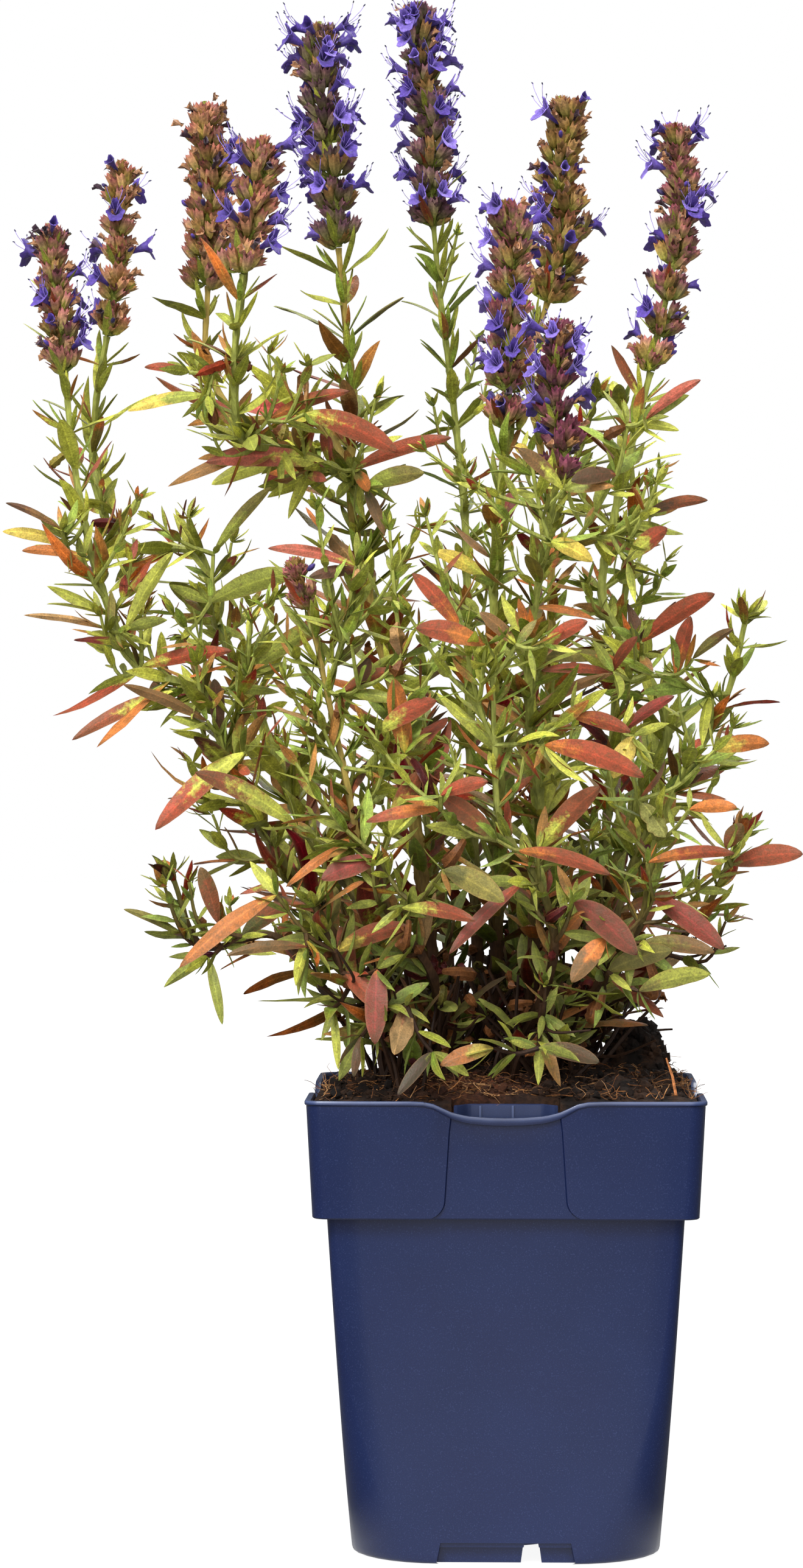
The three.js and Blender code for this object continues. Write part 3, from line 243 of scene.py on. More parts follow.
# %% The stems and the spikes on them, each point as across, down and depth
STEMS = [
    stem_plan("far_left", 1.9, 0.9, 0.14, 21, "green", "sunlit", """
        640 1750 -8, 596 1620 -10, 520 1500 -12, 452 1398 -14, 396 1295 -16, 357 1205 -18, 335 1135 -18,
        262 1128 -20, 205 1065 -20, 168 970 -20, 138 860 -18, 117 730 -15, 106 612 -12""",
        spike_plan(5.6, 5, 0.1, 3, 0.4, "plum", 12, """
        105 604 -12, 98 540 -11, 88 470 -10, 85 430 -10, 78 366 -9""")),
    stem_plan("left", 1.9, 0.9, 0.14, 20, "green", "sunlit", """
        668 1750 8, 640 1600 10, 606 1505 12, 547 1421 14, 484 1337 18, 454 1248 20, 421 1168 22,
        395 1105 24, 360 1030 26, 345 955 28, 310 897 29, 240 893 30, 182 893 30, 165 850 28, 155 780 26,
        154 700 24, 160 640 22, 175 552 22""",
        spike_plan(5.4, 7, 0.25, 0, 0.5, "rust", 8, """
        177 544 22, 188 480 22, 193 420 22, 190 350 22, 204 262 22""")),
    stem_plan("mid_left", 2.3, 0.9, 0.16, 22, "amber", "warm", """
        735 1750 -4, 712 1600 0, 690 1420 4, 665 1235 8, 640 1095 12, 605 1000 14, 588 900 16, 575 790 18,
        582 690 20, 572 570 20, 560 480 20, 556 408 20""",
        spike_plan(7.4, 14, 0.35, 13, 1, "violet", 3, """
        556 400 20, 552 350 20, 545 260 20, 528 180 20, 524 110 20, 525 36 20""")),
    stem_plan("brown", 1.5, 1.0, 0.06, 17, "amber", "sunlit", """
        577 772 18, 545 697 22, 460 684 30, 400 688 36, 352 655 42, 340 580 45, 341 470 46""",
        spike_plan(8.2, 5, 0, 0, 0, "rust", 12, """
        341 462 46, 342 400 46, 345 330 46, 340 250 46, 336 166 46"""), parent="mid_left"),
    stem_plan("second_brown", 1.4, 0.9, 0.06, 17, "green", "sunlit", """
        578 792 18, 530 745 10, 440 740 -8, 395 715 -18, 384 640 -25, 392 510 -30, 399 450 -32""",
        spike_plan(7.0, 8, 0.15, 4, 0.5, "rust", 4, """
        400 442 -32, 412 370 -32, 425 300 -32, 430 222 -32"""), parent="mid_left"),
    stem_plan("tallest", 1.8, 0.8, 0.16, 15, "green", "fresh", """
        790 1750 30, 785 1600 34, 778 1400 40, 772 1200 46, 768 1000 52, 765 870 58, 753 740 64,
        742 640 66, 728 528 68, 714 410 70, 712 372 70""",
        spike_plan(7.2, 17, 0.2, 16, 1, "violet", 3, """
        711 364 70, 708 300 70, 706 200 70, 690 90 70, 687 4 70""")),
    stem_plan("mid_right", 2.0, 1.0, 0.16, 20, "green", "fresh", """
        812 1750 4, 815 1600 2, 818 1400 -4, 820 1250 -8, 816 1078 -14, 810 940 -18, 818 840 -20,
        827 740 -22, 832 706 -23""",
        spike_plan(7.4, 9, 0.3, 7, 0.8, "plum", 5, """
        833 698 -23, 836 590 -24, 838 470 -25, 842 400 -25, 826 330 -25""")),
    stem_plan("dry", 1.7, 0.9, 0.16, 17, "amber", "warm", """
        870 1750 24, 880 1600 28, 890 1400 34, 900 1200 40, 905 1000 44, 903 850 46, 896 746 48,
        868 700 50, 866 620 50, 880 550 50, 899 497 50""",
        spike_plan(8.0, 8, 0.1, 3, 0.6, "straw", 12, """
        901 489 50, 918 430 50, 926 350 50, 918 280 50, 934 206 50, 917 160 50""")),
    stem_plan("dry_side", 1.2, 0.8, 0.06, 15, "green", "fresh", """
        903 880 46, 930 800 44, 955 730 42, 978 655 42""", parent="dry"),
    stem_plan("magenta", 1.9, 0.9, 0.16, 20, "green", "warm", """
        868 1750 -12, 874 1600 -20, 882 1450 -30, 886 1300 -38, 876 1215 -42, 864 1156 -46, 870 1060 -50,
        885 960 -54, 900 850 -58, 914 797 -60""",
        spike_plan(6.2, 7, 0.2, 4, 0.8, "magenta", 3, """
        915 789 -60, 926 757 -60, 916 700 -60, 914 620 -60, 920 524 -60""")),
    stem_plan("right", 2.0, 1.0, 0.16, 20, "green", "warm", """
        905 1750 8, 965 1600 8, 1005 1450 8, 1050 1310 8, 1085 1230 8, 1098 1165 8, 1072 1102 8,
        1010 1065 10, 990 1000 12, 1004 872 14, 1030 760 14, 1054 665 14, 1068 612 14""",
        spike_plan(6.8, 9, 0.4, 6, 0.8, "plum", 6, """
        1070 604 14, 1084 530 14, 1108 420 14, 1118 320 14, 1108 204 14""")),
    stem_plan("right_second", 1.6, 0.8, 0.16, 18, "green", "fresh", """
        935 1750 22, 985 1450 30, 1005 1250 34, 1012 1100 34, 1022 1000 32, 1040 860 30, 1035 760 28,
        1018 672 26"""),
    stem_plan("right_shoot", 1.6, 0.8, 0.14, 17, "green", "fresh", """
        935 1750 -6, 985 1600 -10, 1030 1440 -12, 1072 1353 -14, 1135 1255 -16, 1180 1175 -18,
        1208 1096 -20, 1224 1018 -20"""),
    stem_plan("front_shoot", 1.5, 0.8, 0.14, 15, "green", "fresh", """
        842 1750 -26, 884 1660 -40, 908 1560 -52, 920 1482 -58, 884 1449 -60, 838 1403 -62, 815 1300 -64,
        812 1180 -66, 808 1100 -68"""),
    stem_plan("bud", 1.6, 0.8, 0.12, 17, "amber", "fresh", """
        720 1750 -24, 726 1650 -34, 690 1565 -42, 640 1500 -48, 632 1420 -50, 588 1385 -50, 562 1330 -50,
        565 1270 -50, 553 1195 -50, 530 1110 -50, 508 1000 -50""",
        spike_plan(4.4, 0, 0, 0, 0, "plum", 0, """
        506 992 -50, 490 950 -50, 482 914 -50""")),
    stem_plan("low_left", 1.4, 0.8, 0.35, 16, "green", "fresh", """
        655 1750 -24, 589 1673 -26, 505 1606 -26, 454 1541 -26, 412 1528 -26, 379 1545 -26, 345 1560 -26,
        311 1533 -26, 296 1490 -26, 282 1440 -26"""),
    stem_plan("low_front_left", 1.4, 0.8, 0.25, 20, "green", "warm", """
        690 1750 -36, 625 1680 -44, 562 1600 -50, 530 1550 -52, 517 1490 -54"""),
    stem_plan("low_right", 1.5, 0.8, 0.3, 17, "green", "warm", """
        905 1750 34, 985 1675 34, 1060 1597 32, 1120 1540 30, 1166 1480 28, 1190 1435 28, 1213 1372 28"""),
    stem_plan("low_front_right", 1.6, 0.8, 0.2, 18, "green", "warm", """
        905 1750 -24, 930 1682 -32, 1004 1590 -42, 1052 1515 -50, 1064 1430 -54, 1090 1340 -58,
        1128 1252 -60"""),
    stem_plan("back_left", 1.6, 0.8, 0.2, 20, "green", "warm", """
        760 1742 46, 735 1560 58, 705 1380 70, 690 1230 82, 700 1110 88"""),
    stem_plan("back_right", 1.6, 0.8, 0.2, 20, "amber", "warm", """
        850 1742 46, 865 1560 62, 890 1400 76, 878 1280 86, 868 1180 90"""),
    stem_plan("back_low_left", 1.4, 0.8, 0.3, 18, "green", "warm", """
        700 1742 40, 625 1600 54, 560 1480 66, 520 1380 72, 515 1290 74"""),
    stem_plan("back_low_right", 1.4, 0.8, 0.3, 18, "green", "warm", """
        965 1742 44, 1005 1600 58, 1045 1480 70, 1062 1380 76, 1040 1300 78"""),
]
print("stems and branches:", len(STEMS), "of them with a spike:", sum("spike" in s for s in STEMS))

# %% The large leaves as seen: foot, tip, width, and the colours at the foot and the tip
LARGE_LEAVES = rows_of("""
    235 1108 381 1068 26 lime red, 300 1135 118 1217 24 lime brick, 360 1205 352 1115 26 maroon maroon,
    340 1185 202 1131 20 brown brown, 402 1236 255 1364 36 lime red, 488 1358 320 1269 32 lime brick,
    405 1108 575 1005 34 green red, 440 690 575 643 22 orange red, 500 680 655 742 40 lime red,
    580 772 742 720 26 green red, 545 765 338 760 34 lime pink, 600 800 697 777 32 green olive,
    590 937 535 880 26 tan brown, 590 940 507 950 20 brick maroon, 585 930 440 903 20 lime pink,
    760 1040 677 943 26 orange red, 797 1060 683 1032 34 orange red, 665 1240 645 1115 36 yellow orange,
    620 1205 717 1150 32 lime red, 560 1140 645 1100 22 brick brick, 590 1130 605 1080 24 maroon maroon,
    660 1080 648 1023 26 brown tan, 800 945 713 908 26 lime yellow, 848 1060 787 1008 24 lime brown,
    1054 1055 1173 975 32 orange red, 1109 1110 1132 1012 28 orange red, 1137 1083 1203 1032 18 olive brown,
    1013 780 937 792 28 brick maroon, 1060 845 1162 821 20 maroon brick, 1031 922 1095 867 30 lime red,
    903 890 974 922 28 lime yellow, 1013 1083 875 1087 24 orange olive, 1004 1106 889 1104 18 red red,
    994 1106 1047 1046 18 red red, 1008 1106 884 1165 18 brown brown, 894 1060 965 1021 24 lime red,
    1022 1202 1107 1143 20 crimson crimson, 939 1177 1036 1202 26 orange red,
    1173 1233 1263 1220 30 yellow orange, 894 1224 1059 1275 37 orange red, 884 1398 985 1291 36 lime brick,
    816 1380 719 1309 34 olive brick, 857 1403 1004 1435 26 orange red, 860 1450 738 1568 22 red crimson,
    942 1481 1047 1568 44 crimson crimson, 994 1541 939 1614 34 orange brown,
    1072 1476 1189 1559 36 crimson crimson, 1052 1550 1173 1564 28 olive brown,
    999 1596 1105 1559 36 olive olive, 1049 1628 1166 1598 32 olive lime, 1201 1421 1318 1403 34 olive red,
    1063 1417 1208 1401 22 orange red, 1132 1330 1210 1327 22 orange orange,
    1192 1394 1219 1353 30 brick brown, 724 1330 602 1353 22 orange red, 724 1307 802 1284 24 red red,
    728 1430 829 1481 40 dark_olive olive, 660 1492 783 1513 24 lime red, 551 1564 669 1520 32 yellow red,
    669 1655 650 1733 36 crimson tan, 555 1589 627 1661 32 brick red, 619 1593 617 1716 38 orange crimson,
    884 1722 985 1745 28 green maroon, 811 1722 724 1752 28 yellow orange, 710 1729 770 1768 18 lime lime,
    724 1724 653 1800 20 green purple, 593 1703 581 1770 16 maroon maroon,
    623 1412 528 1446 34 crimson crimson, 572 1387 471 1459 16 orange orange,
    396 1539 476 1482 30 dark_olive brick, 454 1471 297 1593 30 yellow orange,
    358 1518 328 1425 28 brick brown, 505 1556 372 1570 18 brick brown, 341 1572 365 1684 18 green green,
    303 1541 202 1495 14 green olive, 547 1657 556 1758 14 green lime, 110 895 3 875 22 lime yellow,
    135 915 35 905 18 yellow orange, 100 870 8 826 12 brown maroon, 180 1035 40 1015 12 brown tan,
    205 1035 282 905 24 lime lime, 345 990 490 940 38 green green, 350 910 445 800 20 green olive,
    310 612 237 604 16 green red, 340 650 210 677 22 green yellow, 640 1375 690 1265 34 lime brick,
    1040 1210 1008 1279 34 yellow yellow, 870 745 845 735 18 yellow yellow, 925 805 850 738 24 lime brown,
    1030 700 1115 708 16 lime lime, 1060 690 1150 625 18 brick pink""")

# %% Curves, even steps and frames along them
def seeded_draw(seed):
    """A repeatable draw of numbers between 0 and 1, the same as the one that set out the solids."""
    state = seed

    def product(a, b):
        return (a * b) & 0xFFFFFFFF

    def draw():
        nonlocal state
        state = (state + 0x6D2B79F5) & 0xFFFFFFFF
        mixed = product(state ^ (state >> 15), 1 | state)
        mixed = ((mixed + product(mixed ^ (mixed >> 7), 61 | mixed)) & 0xFFFFFFFF) ^ mixed
        return (mixed ^ (mixed >> 14)) / 4294967296

    return draw


def unit(vector):
    return vector / np.linalg.norm(vector)


def clamp(value):
    return min(1, max(0, value))


def step_lengths(points):
    return np.linalg.norm(np.diff(points, axis=0), axis=1)


def length_along(points):
    """How far along the line each of its points lies."""
    return np.concatenate([[0], np.cumsum(step_lengths(points))])


def on_curve(points, share):
    """The point at a share of a smooth curve through all the points."""
    last = len(points) - 1
    place = last * share
    i = min(int(place), last - 1)
    t = place - i
    before = points[i - 1] if i > 0 else 2 * points[0] - points[1]
    after = points[i + 2] if i + 2 <= last else 2 * points[last] - points[last - 1]
    start, end = points[i], points[i + 1]
    leave, arrive = 0.5 * (end - before), 0.5 * (after - start)
    return (start + leave * t + (3 * (end - start) - 2 * leave - arrive) * t * t
            + (2 * (start - end) + leave + arrive) * t ** 3)


def even_steps(points, step, opened=0.0):
    """Points along a line at steps of about that length: even, or wider at the start by the share opened."""
    lengths = length_along(points)
    count = max(2, int(lengths[-1] / step + 0.5))
    share = np.arange(count + 1) / count
    at = lengths[-1] * (share + opened * (share - share ** 2))
    return np.stack([np.interp(at, lengths, points[:, axis]) for axis in range(3)], axis=1)


def smooth_through(points, step):
    """Denser points on the smooth curve through the given ones."""
    fine = max(2, int(step_lengths(points).sum() / step + 0.5))
    return np.array([on_curve(points, i / fine) for i in range(fine + 1)])


def walk(points, step, opened=0.0):
    fine = 14 * (len(points) - 1)
    return even_steps(np.array([on_curve(points, i / fine) for i in range(fine + 1)]), step, opened)


def direction_at(points, index):
    return unit(points[min(len(points) - 1, index + 1)] - points[max(0, index - 1)])


def frames_along(points, heading=(0.3, 1, 0.2)):
    """For every point the axis and two directions square to it, which keep their heading."""
    heading = np.array(heading, float)
    frames = []
    for i in range(len(points)):
        axis = direction_at(points, i)
        heading = unit(heading - axis * heading.dot(axis))
        frames.append((axis, heading, np.cross(axis, heading)))
    return frames


def outward(frame_here, angle):
    return frame_here[1] * math.cos(angle) + frame_here[2] * math.sin(angle)


# %% The soil's surface, from which the stems rise
RIM_HALF = 55
SOIL_EDGE, SOIL_MOUND = 126.2, 7.5
SOIL_LUMP = dict(x=38, y=26, height=13, radius=8.5)
STEM_DEPTH, STEM_STEP = 11, 22


def soil_height(x, y):
    edge = np.maximum(np.abs(x), np.abs(y)) / RIM_HALF
    mound = SOIL_MOUND * (1 - edge ** 2.6)
    ripple = 0.9 * np.sin(x * 0.21 + 1.3) * np.cos(y * 0.17) + 0.7 * np.sin(x * 0.43 - y * 0.38)
    back_left = -3.4 * np.exp(-((x + 44) ** 2 + (y - 44) ** 2) / 420)
    from_lump = np.hypot(x - SOIL_LUMP["x"], y - SOIL_LUMP["y"]) / SOIL_LUMP["radius"]
    lump = SOIL_LUMP["height"] * np.exp(-(from_lump ** 3.2))
    return SOIL_EDGE + mound + ripple * (1 - edge ** 4) + back_left + lump


# %% Lay out every stem along its route
stems = []
for plan in STEMS:
    points = np.array(plan["route"])
    if not plan["parent"]:
        x, y, _ = points[0]
        points = np.vstack([[x, y, soil_height(x, y) - STEM_DEPTH], points])
    stems.append(dict(plan, rooted=not plan["parent"], twig=False,
                      node="stem_" + (plan["parent"] or plan["name"]),
                      points=walk(points, STEM_STEP)))
print("length of all stems in mm:", round(sum(STEM_STEP * len(s["points"]) for s in stems)))

# %% [markdown]
# ## Which leaves the solids hold
#
# The solids leave out a leaf where it would cross another stem's leaf. That choice could be worked out again
# here, but the solids can simply be asked: a leaf is there if the middle of its blade lies on the solid's
# skin. A bounding volume tree answers such a question in a few millionths of a second.

# %% Ask a solid whether it holds a leaf
skins = {}
for name, solid in frame["nodes"].items():
    if name.startswith("stem_"):
        corners = [vertex.co.copy() for vertex in solid.data.vertices]
        skins[name] = BVHTree.FromPolygons(corners, [polygon.vertices[:] for polygon in solid.data.polygons])

ON_SKIN = 0.15
BROAD_STATIONS, NARROW_STATIONS = (0.2, 0.5, 0.8), (0.28, 0.66)


def blade_point(leaf, share):
    rest = 1 - share
    return rest * rest * leaf["foot"] + 2 * rest * share * leaf["handle"] + share * share * leaf["tip"]


def is_held(leaf, node):
    """True if the node's solid has this blade."""
    stations = BROAD_STATIONS if leaf["broad"] else NARROW_STATIONS
    tests = [blade_point(leaf, share) for share in stations] + [leaf["tip"]]
    found = [skins[node].find_nearest(Vector(test * MM), ON_SKIN * MM)[0] is not None for test in tests]
    return sum(found) >= len(tests) - 1 and found[-1]


# %% Where a large leaf may stand, and what it may spring from
TWIG_FROM, REACH_OF_LEAF = 5, 60


def large_leaf_depth(across, down):
    in_bush = max(0, 1 - ((across - 800) / 430) ** 2)
    return -64 * math.sqrt(in_bush) * clamp((down - 1000) / 150)


def nearest_stem_depth(across, down):
    points = np.concatenate([stem["points"] for stem in stems])
    scale = (EYE_DISTANCE + points[:, 1]) / FOCAL_LENGTH
    dx = points[:, 0] / scale + POT_MIDDLE - across
    dz = HORIZON - (points[:, 2] - EYE_HEIGHT) / scale - down
    cost = np.hypot(dx, dz) / 6 + 0.25 * (points[:, 1] + 70)
    return points[np.argmin(cost), 1]


def leaf_side(foot, tip, roll):
    along = unit(tip - foot)
    side = unit(np.cross(along, (0, -1, 0)))
    return side * math.cos(roll) + np.cross(along, side) * math.sin(roll)


def large_leaf_at(row, shift, forward):
    across, down, tip_across, tip_down, width = row[:5]
    depth = min(large_leaf_depth(across, down), nearest_stem_depth(across, down) - 4) + shift
    foot = seen(across, down, depth)
    chord = math.hypot(tip_across - across, tip_down - down) / VIEW_PER_MM
    tip = seen(tip_across, tip_down, depth - forward * chord)
    rise = 0 if tip[0] == foot[0] else 0.12
    handle = (foot + tip) / 2 + np.array([0, -0.1 * chord, rise * chord])
    return dict(foot=foot, handle=handle, tip=tip, side=leaf_side(foot, tip, 0.25), width=width / VIEW_PER_MM,
                broad=width >= 32)


def nearest_wood(leaf, exclude):
    """The stem or twig point that a leaf springs from: near, not above it, and not ahead of it."""
    heading = unit(leaf["handle"] - leaf["foot"])
    best = (math.inf, None, None)
    for index, stem in enumerate(stems):
        first, last = (2 if stem["rooted"] else 1), len(stem["points"]) - (1 if stem["twig"] else 2)
        if index in exclude or last < first:
            continue
        points = stem["points"][first:last + 1]
        apart = points - leaf["foot"]
        length = np.linalg.norm(apart, axis=1)
        high = np.maximum(0, apart[:, 2] + 0.35 * length)
        ahead = np.maximum(0, apart @ heading + 0.2 * length)
        cost = length + 0.8 * high + np.where(length < 5, 0, 2.5 * ahead)
        i = int(np.argmin(cost))
        if cost[i] < best[0]:
            best = (cost[i], index, points[i])
    return best[1], best[2]

# %% Find the large leaves, with the twigs that carry them
def find_large_leaf(row):
    for shift in (0, -5, 5, -10, 10, -16, 18):
        for forward in (0.2, 0.5, -0.1):
            leaf = large_leaf_at(row, shift, forward)
            exclude = set()
            for _ in range(3):
                index, wood = nearest_wood(leaf, exclude)
                exclude.add(index)
                node, gap = stems[index]["node"], np.linalg.norm(wood - leaf["foot"])
                moved = dict(leaf, foot=wood) if gap < TWIG_FROM else leaf
                if gap > REACH_OF_LEAF or not is_held(moved, node):
                    continue
                if gap >= TWIG_FROM:
                    bend = (wood + leaf["foot"]) / 2 - np.array([0, 0, gap * 0.12])
                    stems.append(dict(node=node, points=np.array([wood, bend, leaf["foot"]]), rooted=False,
                                      twig=True,
                                      mood="warm"))
                return dict(moved, node=node, colours=row[5:7])
    return None


large_leaves = [leaf for leaf in map(find_large_leaf, LARGE_LEAVES) if leaf]
print("large leaves found in the solids:", len(large_leaves), "of", len(LARGE_LEAVES))

# %% Find the pairs of leaves up the stems
PAIR_SPACING = 26
FIRST_SEED, SEED_STEP = 18, 7


def free_leaf(foot, axis, out, length, pitch, width_share=0.23, droop=0.12, roll=0.0):
    """A leaf that leaves its stem at an angle to the stem's axis. roll turns the blade about itself."""
    heading = axis * math.cos(pitch) + out * math.sin(pitch)
    tip = foot + heading * length * 0.96 + out * length * 0.1 - np.array([0, 0, length * droop])
    side = unit(np.cross(out, axis))
    side = side * math.cos(roll) + np.cross(heading, side) * math.sin(roll)
    return dict(foot=foot, handle=foot + heading * length * 0.52, tip=tip, side=side,
                width=length * width_share, broad=False)


def find_pairs(stem, seed):
    draw = seeded_draw(seed)
    points = even_steps(stem["points"], PAIR_SPACING)
    frames = frames_along(points)
    last = len(points) - 1
    found = []
    for i in range(last + 1):
        share = i / last
        if share < stem["bare"] or ("spike" in stem and i == last):
            continue
        foot = points[i] + (points[max(0, i - 1)] - points[i]) * 0.08
        turn = (i % 2) * math.pi / 2 + (draw() - 0.5) * 0.7
        for half in (0, math.pi):
            length = stem["leaf"] * (1.45 - 0.5 * share) * (0.85 + 0.3 * draw())
            options = (free_leaf(foot, frames[i][0], outward(frames[i], turn + half + swing), length, pitch,
                                 width_share=0.22, droop=0.14)
                       for swing in (0, 0.45, -0.45, 0.9, -0.9) for pitch in (0.85, 0.6, 1.15))
            leaf = next((option for option in options if is_held(option, stem["node"])), None)
            if leaf:
                found.append(dict(leaf, node=stem["node"], mood=stem["mood"]))
    return found


grown = [stem for stem in stems if not stem["twig"]]
pair_leaves = []
for i, stem in enumerate(grown):
    pair_leaves += find_pairs(stem, FIRST_SEED + SEED_STEP * (len(STEMS) + i))
print("paired leaves found in the solids:", len(pair_leaves))

# %% [markdown]
# ## Gathering skins into pieces
#
# A plant has thousands of leaves, and a Blender object for each would be slow to render and hard to handle.
# Instead every blade, rod or petal is computed as a small grid of points, and all the grids of one piece are
# gathered into one mesh. Each point also keeps its colour, how far along and across its blade it lies, and
# whether it is on the underside. A material then reads these values and paints midribs, edges and veins in
# the right place on every leaf.


# %% A gatherer of skins, and the mesh that comes of it
class Skins:
    """Points, faces and painted values of many small closed skins."""

    def __init__(self):
        self.points, self.values, self.quads, self.triangles, self.count = [], [], [], [], 0

    def add(self, points, faces, values):
        quads, triangles = faces
        self.points.append(points)
        self.values.append(values)
        self.quads.append(quads + self.count)
        self.triangles.append(triangles + self.count)
        self.count += len(points)


PAINT_COLUMNS = (("tint", 0), ("ripe_tint", 7))
VALUE_COLUMNS = (("along", 3), ("across", 4), ("under", 5), ("chance", 6), ("ripe", 10))
face_totals = {}


def make_piece(name, skins_of_piece, material, nodes, crease=50):
    """One object from gathered skins. It rides on the root body and stands for the named solids."""
    points = np.concatenate(skins_of_piece.points) * MM
    columns = max(block.shape[1] for block in skins_of_piece.values)
    values = np.concatenate([np.pad(block, ((0, 0), (0, columns - block.shape[1])))
                             for block in skins_of_piece.values])
    quads = np.concatenate(skins_of_piece.quads)
    triangles = np.concatenate(skins_of_piece.triangles)
    mesh = bpy.data.meshes.new(name)
    mesh.vertices.add(len(points))
    mesh.vertices.foreach_set("co", points.ravel())
    corners = np.concatenate([quads.ravel(), triangles.ravel()])
    starts = np.concatenate([4 * np.arange(len(quads)), 4 * len(quads) + 3 * np.arange(len(triangles))])
    mesh.loops.add(len(corners))
    mesh.loops.foreach_set("vertex_index", corners.astype(np.int32))
    mesh.polygons.add(len(starts))
    mesh.polygons.foreach_set("loop_start", starts.astype(np.int32))
    mesh.update(calc_edges=True)
    mesh.polygons.foreach_set("use_smooth", np.ones(len(starts), bool))
    mesh.set_sharp_from_angle(angle=math.radians(crease))
    for paint_name, first in [(n, c) for n, c in PAINT_COLUMNS if c < columns]:
        paint = mesh.attributes.new(paint_name, "FLOAT_COLOR", "POINT")
        paint.data.foreach_set("color", np.column_stack([values[:, first:first + 3],
                                                         np.ones(len(values))]).ravel())
    for value_name, column in [(n, c) for n, c in VALUE_COLUMNS if c < columns]:
        attribute = mesh.attributes.new(value_name, "FLOAT", "POINT")
        attribute.data.foreach_set("value", values[:, column].copy())
    mesh.materials.append(material)
    piece = new_object(name, mesh)
    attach(piece, "root")
    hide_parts(*nodes)
    face_totals[name] = 2 * len(quads) + len(triangles)
    return piece


def tube_faces(rings, sides, first_point=True, last_point=True):
    """Faces of a closed skin: a first point, rings, a last point. Missing end points leave a hole."""
    start = 1 if first_point else 0
    ring, side = np.meshgrid(np.arange(rings - 1), np.arange(sides), indexing="ij")
    low = start + ring * sides + side
    low_next = start + ring * sides + (side + 1) % sides
    quads = np.stack([low, low_next, low_next + sides, low + sides], axis=-1).reshape(-1, 4)
    triangles = []
    around_ring = np.arange(sides)
    if first_point:
        triangles.append(np.stack([np.zeros(sides, int), 1 + (around_ring + 1) % sides, 1 + around_ring], 1))
    if last_point:
        top = start + (rings - 1) * sides
        end = np.full(sides, top + sides)
        triangles.append(np.stack([end, top + around_ring, top + (around_ring + 1) % sides], 1))
    triangles = np.concatenate(triangles) if triangles else np.zeros((0, 3), int)
    return quads, triangles


# %% The colours of leaves, from green through yellow to red and brown
LEAF_COLOURS = {name: linear(colour) for name, colour in {
    "young": "#8ea23e", "green": "#8f9436", "deep": "#6c7826", "lime": "#b9ba46", "yellow": "#ccb046",
    "olive": "#7d7030", "dark_olive": "#514b1e", "orange": "#bd6427", "red": "#9a2f1e", "pink": "#ad4b40",
    "crimson": "#7d101f", "brick": "#82301a", "maroon": "#4e1b1a", "brown": "#6e4424", "tan": "#b38656",
    "purple": "#451a2c", "pale": "#a9a75c", "bronze": "#a0682e"}.items()}
MOODS = {mood: rows_of(rows) for mood, rows in {
    "fresh": "green green 4, young green 3, green lime 2.5, deep young 3, lime lime 0.7, green bronze 1.4",
    "sunlit": "lime lime 2.2, green lime 4, green green 4, lime pink 1.2, yellow orange 0.8, lime bronze 2.2",
    "warm": "green green 4, green lime 2, lime brick 1.6, deep olive 1.5, lime orange 1.6, green bronze 3",
    "autumn": "lime red 2, olive brick 2, brick maroon 1.2, orange red 2, bronze orange 3, olive orange 1.5, "
              "crimson crimson 1, brown tan 1.2, dark_olive brown 1.5, yellow orange 1"}.items()}
TURNED = ("red", "pink", "crimson", "brick", "maroon", "orange")
GREEN_ABOVE = 230  # mm: from here up the foot of a leaf stays green or olive, whatever its tip does
luck = np.random.default_rng(5)
between = luck.uniform


def weighted(choices):
    """The colours of one of the choices, drawn by the weights that stand last."""
    weights = np.array([choice[2] for choice in choices])
    return choices[luck.choice(len(choices), p=weights / weights.sum())][:2]


def pick_colours(mood, height):
    """Colours of a leaf's foot and tip. Low leaves are older, so more of them have turned."""
    turned_share = min(0.62, max(0.03, 0.74 - (height - 135) / 320))
    foot, tip = weighted(MOODS["autumn"] if luck.random() < turned_share else MOODS[mood])
    if foot in TURNED and (height > GREEN_ABOVE or luck.random() < 0.35):
        foot = "olive" if luck.random() < 0.5 else "green"
    return foot, tip


def small_colours(mood, height):
    """Tufts are young growth, so few of their leaves have turned."""
    if luck.random() < 0.12:
        return pick_colours(mood, height)
    return weighted(MOODS["sunlit" if mood == "sunlit" else "fresh"])


# %% [markdown]
# ## A leaf
#
# A hyssop leaf is narrow and lance-shaped, with a blunt tip, one strong midrib and edges that roll slightly
# under. It could be a flat card with a picture on it, but a card has no thickness and its outline is cut by
# the picture. Here each leaf is a closed thin skin: a grid of stations along the blade and points across it,
# folded a little along the midrib, rolled at the edges, waved and twisted by small amounts that differ from
# leaf to leaf.

# %% Three grades of blade: stations along it, points across it, and how blunt its tip is
BLADES = {grade: (np.array(stations), np.array(ring), tube_faces(len(stations), len(ring)), taper)
          for grade, taper, stations, ring in (
    ("fine", 0.66, (0.02, 0.1, 0.21, 0.33, 0.45, 0.57, 0.69, 0.8, 0.9, 0.97),
     ((-1, 0.5), (-0.5, 0), (0, 0), (0.5, 0), (1, 0.5), (0.5, 1), (0, 1.7), (-0.5, 1))),
    ("plain", 0.85, (0.04, 0.17, 0.34, 0.53, 0.72, 0.87, 0.96),
     ((-1, 0.5), (-0.5, 0), (0, 0), (0.5, 0), (1, 0.5), (0, 1.5))),
    ("small", 0.95, (0.06, 0.27, 0.52, 0.76, 0.93), ((-1, 0.5), (0, 0), (1, 0.5), (0, 1))))}
BLADE_THICKNESS = 0.3
# mm: the foot of the bush, where the painted shade on leaves is deepest, and the width of its shaded heart
FOOT_OF_BUSH, HEART_OF_BUSH = 135, 38


